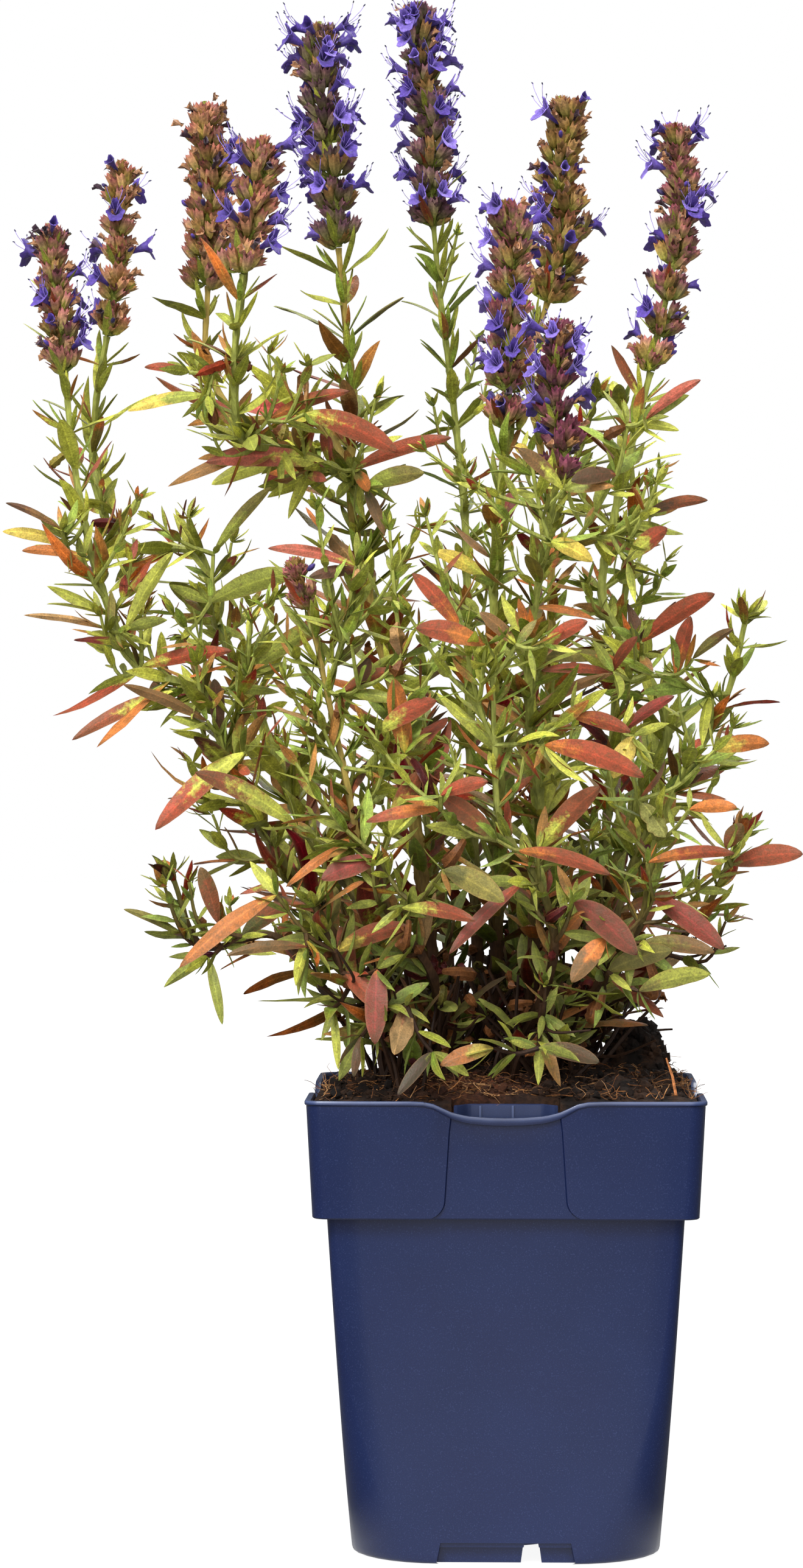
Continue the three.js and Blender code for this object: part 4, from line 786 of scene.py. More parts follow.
def half_width(share, taper):
    """The outline of the blade, 1 at its widest. The taper is low for a blunt tip and 1 for a sharp one."""
    widest = 0.72 / (0.72 + taper)
    return share ** 0.72 * (1 - share) ** taper / (widest ** 0.72 * (1 - widest) ** taper)


def painted_shade_at(place):
    """Painted shade: leaves low down and deep inside the bush are made darker, times a tone that differs at
    random.
    """
    inside = (math.exp(-(place[0] / HEART_OF_BUSH) ** 2) * clamp((200 - place[2]) / 40)
              * clamp((place[1] + HEART_OF_BUSH) / 25))
    shade = between(0.82, 1.18) * (0.6 + 0.4 * clamp((place[2] - FOOT_OF_BUSH) / 75))
    return shade * (1 - 0.5 * inside)


# %% The blade: folded, rolled, waved, twisted, and painted point by point
def add_leaf(piece, leaf, colours, grade="plain", fold=0.25, roll=0.12, twist=0.0, wave=0.0, hook=0.0):
    """Adds a blade. hook bends the tip down, twist turns it about its midrib, wave ripples its edges."""
    stations, ring, faces, taper = BLADES[grade]
    share = np.concatenate([[0], stations, [1]])[:, None]
    foot, handle, tip = leaf["foot"], leaf["handle"], leaf["tip"]
    length = np.linalg.norm(tip - foot)
    centre = (1 - share) ** 2 * foot + 2 * (1 - share) * share * handle + share ** 2 * tip
    along = (handle - foot) * (1 - share) + (tip - handle) * share
    along /= np.linalg.norm(along, axis=1, keepdims=True)
    side = leaf["side"] - along * (along @ leaf["side"])[:, None]
    side /= np.linalg.norm(side, axis=1, keepdims=True)
    up = np.cross(along, side)
    angle = twist * share
    side, up = side * np.cos(angle) + up * np.sin(angle), up * np.cos(angle) - side * np.sin(angle)
    centre = centre - up * hook * length * share ** 4
    half = (leaf["width"] / 2 * half_width(np.clip(share, 0.004, 0.999), taper))[:, :, None]
    a, depth = ring[:, 0][None, :, None], ring[:, 1][None, :, None]
    lift = fold * np.abs(a) * half - roll * (np.abs(a) ** 3) * half
    phase = luck.random() * 6
    lift = lift + wave * half * np.abs(a) * np.sin(share[:, :, None] * 15 + phase + (a > 0) * 1.7)
    thin = BLADE_THICKNESS * (0.5 + 0.5 * half / (half.max() + 1e-6))
    grid = centre[:, None, :] + side[:, None, :] * a * half + up[:, None, :] * (lift - depth * thin)
    points = np.vstack([centre[0], grid[1:-1].reshape(-1, 3), centre[-1]])
    along_value = np.concatenate([[0], np.repeat(stations, len(ring)), [1]])
    across_value = np.concatenate([[0], np.tile(ring[:, 0], len(stations)), [0]])
    under_value = np.concatenate([[0], np.tile(ring[:, 1] > 0.4, len(stations)), [0]])
    start = between(0.0, 0.6)
    ripe = (along_value + 0.18 * np.abs(across_value) - start) / between(0.15, 0.45)
    # painted shade of the bush, which darkens both colours of the leaf
    shade = painted_shade_at(foot)
    tint = np.tile(LEAF_COLOURS[colours[0]] * shade, (len(points), 1))
    dark_tip = 1 - 0.55 * np.clip((along_value - 0.86) / 0.12, 0, 1)[:, None] * (colours[1] in TURNED)
    ripe_tint = LEAF_COLOURS[colours[1]] * shade * dark_tip
    chance = np.full(len(points), luck.random())
    piece.add(points, faces, np.column_stack([tint, along_value, across_value, under_value, chance,
                                              ripe_tint, ripe]))


# %% A dead leaf is a strip that winds up towards its tip
CURL_STATIONS = 11


def add_curl(piece, foot, heading, side, length, width, turns, colour):
    ring = BLADES["plain"][1]
    share = np.linspace(0, 1, CURL_STATIONS)
    angle = turns * 2 * math.pi * share ** 1.4
    up = np.cross(heading, side)
    steps = np.cos(angle)[:, None] * heading + np.sin(angle)[:, None] * up
    centre = foot + np.cumsum(steps * (length / CURL_STATIONS) * (1 - 0.45 * share)[:, None], axis=0)
    normal = np.cos(angle)[:, None] * up - np.sin(angle)[:, None] * heading
    half = width / 2 * np.sin(math.pi * np.clip(0.08 + 0.9 * share, 0, 0.98)) ** 0.6
    half = (half * between(0.75, 1.2, CURL_STATIONS))[:, None, None]
    a, depth = ring[:, 0][None, :, None], ring[:, 1][None, :, None]
    ragged = between(-0.35, 0.35, (CURL_STATIONS, len(ring), 1)) * (depth < 1)
    cup = (0.55 * np.abs(a) + ragged) * half
    grid = centre[:, None, :] + side * a * half + normal[:, None, :] * (cup - depth * 0.25)
    points = np.vstack([centre[0] - steps[0] * 0.3, grid.reshape(-1, 3), centre[-1] + steps[-1] * 0.3])
    values = np.zeros((len(points), 11))
    values[:, :3] = values[:, 7:10] = LEAF_COLOURS[colour] * between(0.7, 1.2)
    values[1:-1, 3] = np.repeat(share, len(ring))
    values[1:-1, 4] = np.tile(ring[:, 0], CURL_STATIONS)
    piece.add(points, tube_faces(CURL_STATIONS, len(ring)), values)


# %% [markdown]
# ## Stems
#
# Mints have square stems. Young hyssop stems are yellow-green with faint ridges at the four corners; at the
# base they turn woody, round and dark brown, with a swelling where each pair of leaves once stood. A tube
# from a curve's bevel would be round all the way, so the rings are computed: a square with rounded corners
# whose size, colour and roundness change with height.

# %% The rod
WOOD_COLOURS = {"green": linear("#8f9446"), "amber": linear("#97823f")}
OLD_WOOD, DARK_WOOD = linear("#4e3520"), linear("#2e1d12")
JOINT_SWELL, JOINT_LENGTH = 0.28, 1.1


def circle(count):
    """Even angles around a circle."""
    return np.arange(count) / count * 2 * math.pi


def wood_tint(wood, height, share):
    """Green above, brown where the stem is old: near the soil."""
    old = np.clip((215 - height) / 45, 0, 1)[:, None]
    young = WOOD_COLOURS[wood] * (0.85 + 0.3 * share[:, None])
    aged = OLD_WOOD * old + young * (1 - old)
    oldest = np.clip((175 - height) / 30, 0, 1)[:, None]
    return aged * (1 - oldest) + DARK_WOOD * oldest


def add_rod(piece, points, radii, wood="green", sides=8, joints=(), tint=None):
    """A rod through points. joints are shares of its length where leaves stand: it swells there."""
    share = np.linspace(0, 1, len(points))
    lengths = length_along(points)
    swell = np.ones(len(points))
    for joint in joints:
        swell += JOINT_SWELL * np.exp(-((lengths - joint * lengths[-1]) / JOINT_LENGTH) ** 2)
    angles = circle(sides)
    square = 1 + 0.09 * np.cos(4 * angles)
    _, first, second = (np.array(part)[:, None, :] for part in zip(*frames_along(points)))
    reach = (radii * swell)[:, None, None] * square[None, :, None]
    grid = points[:, None, :] + reach * (first * np.cos(angles)[None, :, None]
                                         + second * np.sin(angles)[None, :, None])
    tints = wood_tint(wood, points[:, 2], share) if tint is None else np.tile(tint, (len(points), 1))
    tints = tints * (1 - 0.35 * np.clip(swell - 1, 0, 1)[:, None] / JOINT_SWELL)
    skin_points = np.vstack([points[0], grid.reshape(-1, 3), points[-1]])
    ring_values = np.repeat(np.column_stack([tints, lengths / 100]), sides, axis=0)
    values = np.vstack([ring_values[:1], ring_values, ring_values[-1:]])
    turn = np.concatenate([[0], np.tile(np.arange(sides) / sides, len(points)), [0]])
    chance = np.full(len(values), luck.random())
    piece.add(skin_points, tube_faces(len(points), sides),
              np.column_stack([values, turn, chance * 0, chance]))


# %% [markdown]
# ## Leafy growth
#
# A pair of leaves stands at every joint of a stem, and from the angle above each leaf comes a tuft of small
# ones, or a short side shoot with pairs of its own. The tufts are what makes the plant look full. The pairs
# that the solids hold keep their exact place. Between two of them come the joints that the solids leave out.

# %% Tufts
def add_tuft(piece, foot, axis, out, size, mood, count):
    for _ in range(count):
        spread = between(-1.2, 1.2)
        way = unit(out * math.cos(spread) + np.cross(axis, out) * math.sin(spread))
        length = size * between(0.55, 1.3)
        leaf = free_leaf(foot + way * 0.4, axis, way, length, between(0.25, 1.2), between(0.22, 0.3),
                         roll=between(-0.6, 0.6))
        add_leaf(piece, leaf, small_colours(mood, foot[2]), grade="plain" if length > 12 else "small",
                 fold=between(0.15, 0.45), hook=between(-0.05, 0.3))


# %% Side shoots: a thin rod with pairs of leaves that get smaller, and a tuft on top
UP = np.array([0, 0, 1])


def add_shoot(leaves, wood, route, out, leaf_length, mood):
    path = smooth_through(np.array(route), 2.5)
    add_rod(wood, path, np.linspace(0.75, 0.45, len(path)), sides=6)
    steps = even_steps(path, 5.5)
    frames = frames_along(steps, out)
    for i in range(1, len(steps)):
        share = i / (len(steps) - 1)
        size = leaf_length * (1.0 - 0.4 * share)
        for half in (0, math.pi):
            way = outward(frames[i], (i % 2) * math.pi / 2 + half + between(-0.3, 0.3))
            leaf = free_leaf(steps[i], frames[i][0], way, size * between(0.85, 1.15),
                             between(0.6, 1.1) - 0.3 * share, between(0.22, 0.28),
                             roll=between(-0.5, 0.5))
            add_leaf(leaves, leaf, small_colours(mood, steps[i][2]), grade="plain" if size > 12 else "small",
                     twist=between(-0.5, 0.5), fold=between(0.15, 0.4), hook=between(0, 0.1))
    add_tuft(leaves, steps[-1], frames[-1][0], frames[-1][1], size * 0.8, mood, 6)


def rising_route(foot, axis, out, length):
    """The route of a shoot that leaves its stem outwards and turns up."""
    heading = unit(axis * 0.7 + out)
    bend = foot + heading * length * 0.5
    return [foot, bend, bend + unit(heading * 0.5 + UP) * length * 0.5]


# %% Dead twigs and dead leaves
DEAD_COLOURS = ("brown", "maroon", "dark_olive", "brown")


def add_dead_twig(wood, points, thick, thin, palest):
    path = smooth_through(np.array(points), 3)
    add_rod(wood, path, np.linspace(thick, thin, len(path)), sides=5, tint=DARK_WOOD * between(0.7, palest))
    return path


def add_dead_leaf(leaves, foot, heading, side, lengths, widths):
    add_curl(leaves, foot, heading, side, between(*lengths), between(*widths), between(0.3, 1.3),
             DEAD_COLOURS[luck.integers(4)])


# %% [markdown]
# Low down a stem is old, so it carries dead twigs and curled dead leaves there. Halfway up the bush it is
# fullest. The top, under a spike, has only narrow upright leaves. One function goes up a stem joint by joint
# and lets the height decide.

# %% The joints between those of the solids, and the tufts at all of them
JOINTS_BETWEEN = 3  # a pair of the solids stands at every third joint
FULL_TURN = 6.28


def add_old_joint(leaves, wood, place, frame_here, low):
    axis = frame_here[0]
    for _ in range(int(between(0, 3.2) * low)):
        way = unit(outward(frame_here, between(0, FULL_TURN)) + axis * between(0.2, 1.6))
        reach = between(9, 26)
        bend = np.array([between(-0.15, 0.15), between(-0.15, 0.15), -0.12]) * reach
        add_dead_twig(wood, [place, place + way * reach / 2 + bend, place + way * reach], 0.6, 0.3, 1.8)
    for _ in range(int(luck.random() < 0.16 and place[2] < 280) + int(between(0, 5) * low)):
        way = outward(frame_here, between(0, FULL_TURN))
        add_dead_leaf(leaves, place + way * 0.6, unit(way + axis * between(-0.8, 0.6)), np.cross(axis, way),
                      (6, 15), (1.8, 4.2))


def add_joint(stem, leaves, wood, place, frame_here, i, share):
    """One joint: dead growth if low, a leaf on each side, and a tuft, a shoot or upright leaves above."""
    axis = frame_here[0]
    size = stem["leaf"] * (1.25 - 0.55 * share)
    low = np.clip((200 - place[2]) / 60, 0, 1)
    crowd = math.exp(-((place[2] - 250) / 75) ** 2)
    add_old_joint(leaves, wood, place, frame_here, low)
    for half in (0, math.pi):
        way = outward(frame_here, (i % 2) * math.pi / 2 + half + between(-0.45, 0.45))
        if i % JOINTS_BETWEEN != 0 and luck.random() < 0.9 - 0.45 * low:
            leaf = free_leaf(place, axis, way, size * between(0.8, 1.5), between(0.5, 1.35),
                             between(0.16, 0.22), between(-0.1, 0.4), between(-0.7, 0.7))
            add_leaf(leaves, leaf, pick_colours(stem["mood"], place[2]), twist=between(-0.7, 0.7),
                     fold=between(0.1, 0.4), wave=between(0, 0.15), hook=between(0, 0.35))
        if "spike" in stem and share > 0.8:
            for _ in range(3 if stem["mood"] == "fresh" else 2):
                upright = unit(way + np.cross(axis, way) * between(-1.5, 1.5))
                leaf = free_leaf(place + upright * 0.5, axis, upright, between(9, 16),
                                 between(0.25, 0.75), between(0.14, 0.19), between(-0.05, 0.25))
                add_leaf(leaves, leaf, small_colours("fresh", place[2]), hook=between(0, 0.2))
        elif luck.random() < 0.72 + 0.2 * low:
            if luck.random() >= 0.6 * low:
                add_tuft(leaves, place, axis, way, size * between(0.55, 0.9), stem["mood"],
                         luck.integers(2, 5) + int(2.2 * luck.random() * crowd))
        elif share < 0.85:
            add_shoot(leaves, wood, rising_route(place, axis, way, between(12, 28)), way, size * 0.72,
                      stem["mood"])


def grow(stem, leaves, wood):
    path = smooth_through(stem["points"], 4)
    count = JOINTS_BETWEEN * max(2, int(step_lengths(stem["points"]).sum() / PAIR_SPACING + 0.5))
    steps = even_steps(path, step_lengths(path).sum() / count)
    frames = frames_along(steps)
    for i in range(1, len(steps)):
        share = i / (len(steps) - 1)
        if share >= stem["bare"] * 0.75 and not ("spike" in stem and i == len(steps) - 1):
            add_joint(stem, leaves, wood, steps[i], frames[i], i, share)
    if "spike" not in stem:
        for way in (frames[-1][1], -frames[-1][1]):
            add_tuft(leaves, steps[-1], frames[-1][0], way, stem["leaf"] * 0.5, "fresh", 8)
    joints = [i / count for i in range(count + 1) if i / count >= stem["bare"] * 0.8]
    path = smooth_through(stem["points"], 2)
    add_rod(wood, path, np.linspace(stem["radius"][0], stem["radius"][1] * 0.85, len(path)), stem["wood"],
            joints=joints)


# %% Old growth: dead stubs, dead leaves and a few sprouts around the foot of a stem
STUBS, SPROUTS = 11, 2


def add_old_growth(foot, leaves, wood):
    for i in range(STUBS):
        x, y = foot[0] + luck.normal() * 4.5, foot[1] + luck.normal() * 4.5
        start = np.array([x, y, soil_height(x, y) - 1])
        way = unit(np.array([luck.normal() * 0.45, luck.normal() * 0.45, 1]))
        reach = between(12, 38)
        bend = start + way * reach / 2 + np.array([luck.normal(), luck.normal(), 0]) * reach * 0.06
        stub = add_dead_twig(wood, [start, bend, start + way * reach], 0.75, 0.4, 1.7)
        side = unit(np.array([luck.normal(), luck.normal(), 0]))
        add_dead_leaf(leaves, stub[luck.integers(len(stub) // 2, len(stub))],
                      unit(side + way * between(-1, 0.8)), np.cross(way, side), (7, 17), (2, 5))
        if i < SPROUTS:
            add_tuft(leaves, stub[-2], way, side, between(9, 13), "fresh", 4)


# %% Grow every stem and every twig
TWIG_JOINT = 6.5
leaf_skins = {"stem_" + plan["name"]: Skins() for plan in STEMS if not plan["parent"]}
wood_skins = {node: Skins() for node in leaf_skins}


def grow_twig(twig, leaves, wood):
    """A twig that carries a large leaf, with a small tuft on each side of every joint."""
    path = smooth_through(twig["points"], 2.5)
    add_rod(wood, path, np.linspace(0.8, 0.55, len(path)), sides=6)
    steps = even_steps(path, TWIG_JOINT)
    frames = frames_along(steps)
    for i in range(1, len(steps)):
        for half in (0, math.pi):
            add_tuft(leaves, steps[i], frames[i][0], outward(frames[i], (i % 2) * math.pi / 2 + half), 11,
                     twig["mood"], luck.integers(1, 3))


for stem in stems:
    skins_here = leaf_skins[stem["node"]], wood_skins[stem["node"]]
    if stem["rooted"]:
        add_old_growth(stem["points"][0], *skins_here)
    if stem["twig"]:
        grow_twig(stem, *skins_here)
    else:
        grow(stem, *skins_here)

# %% [markdown]
# Some side shoots and dead leaves catch the eye, so they stand where they are seen. A table gives foot and
# tip in the view. The depth is that of the nearest stem, and the foot moves onto the nearest wood.

# %% Side shoots as seen: foot, tip and the length of their leaves
SIDE_SHOOTS = rows_of("""
    505 1260 468 1118 15, 570 1275 520 1168 14, 425 1150 450 985 15, 640 965 690 868 14, 240 905 224 822 12,
    455 690 505 602 13, 430 690 462 612 11, 312 1535 270 1458 13, 470 900 520 838 13, 600 760 618 655 13,
    575 1080 540 1010 13, 690 1260 600 1190 13, 395 1090 412 1022 12, 700 1130 745 1050 13,
    780 900 700 850 12, 610 1420 470 1230 16, 716 478 750 388 8, 1035 870 1078 795 11, 310 905 252 855 11,
    400 1080 285 1010 14, 818 860 784 805 10, 755 800 700 742 10, 600 1120 578 1062 11,
    350 1015 298 1045 11, 700 1120 672 1012 12, 470 1090 437 1000 12, 655 950 640 872 10""")
for across, down, tip_across, tip_down, leaf_length in SIDE_SHOOTS:
    depth = nearest_stem_depth(across, down)
    foot, tip = seen(across, down, depth), seen(tip_across, tip_down, depth - 6)
    index, start = nearest_wood(dict(foot=foot, handle=tip), set())
    bend = (start + tip) / 2 - UP * 0.08 * np.linalg.norm(tip - start)
    node = stems[index]["node"]
    add_shoot(leaf_skins[node], wood_skins[node], [start, bend, tip], np.array([0.3, -1, 0]), leaf_length,
              "warm")
print("side shoots:", len(SIDE_SHOOTS))

# %% The leaves that the solids hold. Those that are all brown have dried, so they fold and wave more
for leaf in pair_leaves:
    add_leaf(leaf_skins[leaf["node"]], leaf, pick_colours(leaf["mood"], leaf["foot"][2]), grade="fine",
             twist=between(-0.4, 0.4), fold=between(0.1, 0.35), wave=between(0, 0.12))
for leaf in large_leaves:
    dry = "tan" in leaf["colours"] or leaf["colours"] == ("brown", "brown")
    add_leaf(leaf_skins[leaf["node"]], leaf, leaf["colours"], grade="fine", fold=0.6 if dry else 0.2,
             wave=0.35 if dry else 0.08, twist=between(-0.3, 0.3), hook=0.15 if dry else 0.04)
print("leaves that the solids hold:", len(pair_leaves) + len(large_leaves))

# %% Dead leaves as seen: foot, tip, width, turns of the curl, colour
DEAD_LEAVES = rows_of("""
    1000 640 994 715 20 0.4 brown, 562 612 512 578 12 0.9 tan, 398 548 411 592 14 0.8 brown,
    398 562 402 585 12 1.0 dark_olive, 332 575 325 608 17 0.2 brick, 338 522 322 545 10 0.5 brown,
    182 822 206 850 26 0.9 maroon, 376 690 370 702 12 0.9 brown, 108 775 74 768 14 0.4 olive,
    452 690 452 722 22 0.8 brown, 462 695 468 720 18 0.7 olive, 1072 1335 1104 1378 32 0.1 pale,
    1090 1560 1118 1680 22 0.6 brown, 762 1572 820 1590 20 0.9 brown, 872 1682 868 1740 20 0.5 brown,
    962 1645 978 1718 20 0.7 brown, 590 935 600 960 30 1.1 tan, 560 1330 592 1350 18 1.3 brown,
    712 1240 726 1275 26 1.2 maroon, 640 1080 655 1112 26 1.2 brown, 553 1120 560 1175 16 0.3 brown,
    1004 1180 1040 1228 20 0.5 maroon, 745 1395 730 1440 22 0.8 brown, 905 1490 880 1530 20 1.0 maroon,
    690 1560 672 1600 20 0.9 brown, 350 1555 318 1568 14 0.2 purple, 840 1620 812 1650 18 1.0 brown""")
for across, down, tip_across, tip_down, width, turns, colour in DEAD_LEAVES:
    depth = nearest_stem_depth(across, down) - 2.5
    foot, tip = seen(across, down, depth), seen(tip_across, tip_down, depth - 3)
    index, foot = nearest_wood(dict(foot=foot, handle=tip), set())
    heading = unit(tip - foot)
    add_curl(leaf_skins[stems[index]["node"]], foot, heading, unit(np.cross(heading, (0.3, -1, 0.2))),
             np.linalg.norm(tip - foot) * (1 + turns), width / VIEW_PER_MM, turns, colour)
print("leaf triangles:", sum(2 * sum(map(len, s.quads)) + sum(map(len, s.triangles))
                             for s in leaf_skins.values()))

# %% [markdown]
# ## What a leaf's surface is
#
# A hyssop leaf is a soft, slightly waxy blade: a dull green cuticle with a weak sheen, a pale midrib, and a
# paler, greyer underside. Old leaves turn yellow, orange and crimson from the tip and the edges inwards, in
# blotches with a ragged border rather than evenly, and get brown spots. The index of refraction is that of
# wax and cellulose, about 1.45. Roughness 0.45 and a low specular level give the weak sheen. Blotches, border
# and spots are noise with a grain of a few millimetres. The midrib, the paler edge and the faint slanting
# veins come from the values along and across the blade. The grain stands for hairs and glands. They are finer
# than half a millimetre, and so coarse only to show.

# %% Leaf material
BLOTCH_MM, RAGGED_MM, SPOT_MM, LEAF_GRAIN_MM = 3.0, 2.2, 1.4, 0.5
RIPE_STARTS, RIPE_FULL = 1.6, 2.3
VEINS_ALONG, VEIN_SLANT, VEIN_DEPTH = 55.0, -9.0, 0.06
leaf_paint, add, on_leaf = new_material("hyssop_leaf")
tint, ripe_tint, *painted = (add("Attribute", {"attribute_name": name})
                             for name in ("tint", "ripe_tint", "across", "along", "under", "ripe"))
across, along, under, ripe = (node.outputs["Fac"] for node in painted)
blotch, ragged, spots, grain = (
    add("TexNoise", {"Scale": 1 / (size * MM), "Detail": detail, "Roughness": rough}, {0: on_leaf})
    for size, detail, rough in ((BLOTCH_MM, 4.0, 0.6), (RAGGED_MM, 5.0, 0.7), (SPOT_MM, 3.0, 0.6),
                                (LEAF_GRAIN_MM, 3.0, 0.5)))
ragged_ripe = add("Math", {"operation": "MULTIPLY_ADD", 1: 3.0}, {0: ragged, 2: ripe})
ripeness = add("MapRange", {1: RIPE_STARTS, 2: RIPE_FULL, 3: 0.0, 4: 1.0}, {0: ragged_ripe})
two_tone = add("Mix", {"data_type": "RGBA"}, {0: ripeness, 6: tint, 7: ripe_tint})
spot = add("MapRange", {1: 0.6, 2: 0.7, 3: 0.0, 4: 0.5}, {0: spots})
spotted = add("Mix", {"data_type": "RGBA", 7: rgba("#5e3420")}, {0: spot, 6: two_tone})
from_rib = add("Math", {"operation": "ABSOLUTE"}, {0: across})
light = add("MapRange", {1: 0.3, 2: 0.7, 3: 0.62, 4: 1.25}, {0: blotch})
for source, settings in ((grain, {1: 0.35, 2: 0.65, 3: 0.78, 4: 1.24}),
                         (from_rib, {1: 0.02, 2: 0.15, 3: 1.4, 4: 0.95})):
    part = add("MapRange", settings, {0: source})
    light = add("Math", {"operation": "MULTIPLY"}, {0: light, 1: part})
ribbed = add("VectorMath", {"operation": "SCALE"}, {0: spotted, "Scale": light})
edge = add("MapRange", {1: 0.8, 2: 1.0, 3: 0.0, 4: 0.35}, {0: from_rib})
edged = add("Mix", {"data_type": "RGBA", 7: rgba("#8a5a38")}, {0: edge, 6: ribbed})
pale = add("Math", {"operation": "MULTIPLY", 1: 0.12}, {0: under})
paled = add("Mix", {"data_type": "RGBA", 7: rgba("#a5ab7c")}, {0: pale, 6: edged})
slant = add("Math", {"operation": "MULTIPLY", 1: VEIN_SLANT}, {0: from_rib})
vein_place = add("Math", {"operation": "MULTIPLY_ADD", 1: VEINS_ALONG}, {0: along, 2: slant})
vein = add("Math", {"operation": "SINE"}, {0: vein_place})
relief = add("Math", {"operation": "MULTIPLY_ADD", 1: VEIN_DEPTH}, {0: vein, 2: grain})
bump = add("Bump", {"Strength": 0.7, "Distance": 0.2 * MM}, {"Height": relief})
shader = add("BsdfPrincipled", {"Roughness": 0.45, "IOR": 1.45, "Specular IOR Level": 0.2},
             {"Base Color": paled, "Normal": bump})
add("OutputMaterial", links={"Surface": shader})

# %% Stem material: a ridged green skin that turns to bark, its grain drawn out along the stem
BARK_GRAIN_MM, ALONG_STEM = 0.7, 0.22
wood_paint, add, on_stem = new_material("hyssop_stem")
tint = add("Attribute", {"attribute_name": "tint"})
stretch = add("Mapping", {"Scale": (1.0, 1.0, ALONG_STEM)}, {0: on_stem})
grain = add("TexNoise", {"Scale": 1 / (BARK_GRAIN_MM * MM), "Detail": 5.0}, {0: stretch})
light = add("MapRange", {1: 0.3, 2: 0.7, 3: 0.65, 4: 1.25}, {0: grain})
streaked = add("VectorMath", {"operation": "SCALE"}, {0: tint, "Scale": light})
bump = add("Bump", {"Strength": 0.5, "Distance": 0.2 * MM}, {"Height": grain})
shader = add("BsdfPrincipled", {"Roughness": 0.6, "IOR": 1.45, "Specular IOR Level": 0.25},
             {"Base Color": streaked, "Normal": bump})
add("OutputMaterial", links={"Surface": shader})

# %% Make the leafy stems
for node in leaf_skins:
    make_piece(node.replace("stem_", "leaves_"), leaf_skins[node], leaf_paint, [node])
    make_piece(node.replace("stem_", "wood_"), wood_skins[node], wood_paint, [node])
print("triangles of leaves and wood:", sum(face_totals.values()))

# %% [markdown]
# ## Calyces, the cups that the flowers stand in
#
# A hyssop flower is small, and what gives a spike its body are the calyces: ribbed tubes seven millimetres
# long with five pointed teeth, olive at the foot and plum at the teeth. Many stand crowded in three tiers, a
# whorl, at each joint of the spike. One calyx is modelled as a template and then placed many times, each time
# with its own size and shade.


# %% Place copies of a template
def turned_to(axis, up):
    """Rows of a matrix that turns a template so that its z runs along axis and its x towards up."""
    axis = unit(axis)
    first = unit(up - axis * axis.dot(up))
    return np.stack([first, np.cross(axis, first), axis])


def add_copy(piece, template, foot, axis, up, size, low, high, shade=0.14, crumple=0.0):
    """Adds a copy of a template at foot, painted from the colour low to the colour high, with painted shade
    on its inside.
    """
    shape, faces, along, across, under = template
    points = shape * size * between(0.9, 1.1, 3) + luck.normal(0, 1, shape.shape) * crumple
    points = foot + points @ turned_to(axis, up)
    mix = along[:, None]
    # painted shade: points marked under, the inside of a calyx or a corolla's throat, get 0.55 darker
    tint = (low * (1 - mix) + high * mix) * between(1 - shade, 1 + shade) * (1 - 0.55 * under[:, None])
    piece.add(points, faces, np.column_stack([tint, along, across, under,
                                              np.full(len(along), luck.random())]))


# %% The calyx: ten sides, of which five run out to teeth
SIDES_OF_CALYX = 10
CALYX_LENGTH = 7.4
CALYX_RINGS = [(0.4, 0.5, 0.4, 0.45), (1.3, 1.2, 1.3, 1.0), (3.2, 1.75, 3.2, 1.45), (5.2, 1.85, 5.2, 1.55),
               (7.4, 1.75, 6.0, 1.5)]
CALYX_INSIDE = (6.2, 1.3, 5.3, 1.1)


def calyx_template():
    angles = circle(SIDES_OF_CALYX)
    is_tooth = np.arange(SIDES_OF_CALYX) % 2 == 0
    rings = []
    for tooth_height, tooth_radius, gap_height, gap_radius in CALYX_RINGS + [CALYX_INSIDE]:
        radius = np.where(is_tooth, tooth_radius, gap_radius)
        height = np.where(is_tooth, tooth_height, gap_height)
        rings.append(np.column_stack([radius * np.cos(angles), radius * np.sin(angles), height]))
    points = np.vstack([[0, 0, 0], *rings, [0, 0, 3.2]])
    along = np.clip(points[:, 2] / CALYX_LENGTH, 0, 1)
    across = np.concatenate([[0], np.tile(is_tooth, len(rings)), [0]])
    # under marks the inside skin, which add_copy darkens as painted shade
    under = np.repeat([0, 1], [1 + SIDES_OF_CALYX * len(CALYX_RINGS), SIDES_OF_CALYX + 1])
    return points, tube_faces(len(rings), SIDES_OF_CALYX), along, across, under


CALYX = calyx_template()
print("triangles of a calyx:", 2 * len(CALYX[1][0]) + len(CALYX[1][1]))

# %% [markdown]
# ## The flower
#
# The corolla is a violet tube that opens into two lips: an upright upper lip, two small side lobes and a
# broad lower lobe with a notch. Four thin stamens stand well out of it, each with a dark anther. A petal
# could be drawn as single leaves glued together. Here the whole corolla is one skin around the tube: the
# length of the lip is a curve of the angle around the mouth, and the lower half bends further out than the
# upper half.

# %% The corolla
CORNER_ANGLES = [90, 78, 58, 30, 4, -14, -28, -42, -56, -69, -81, -90]
MOUTH_HEIGHT, MOUTH_RADIUS = 5.6, 1.35
PETAL_THICKNESS = 0.16


def lobe(angles, middle, width):
    apart = (angles - middle + 180) % 360 - 180
    return np.exp(-np.abs(apart / width) ** 3)


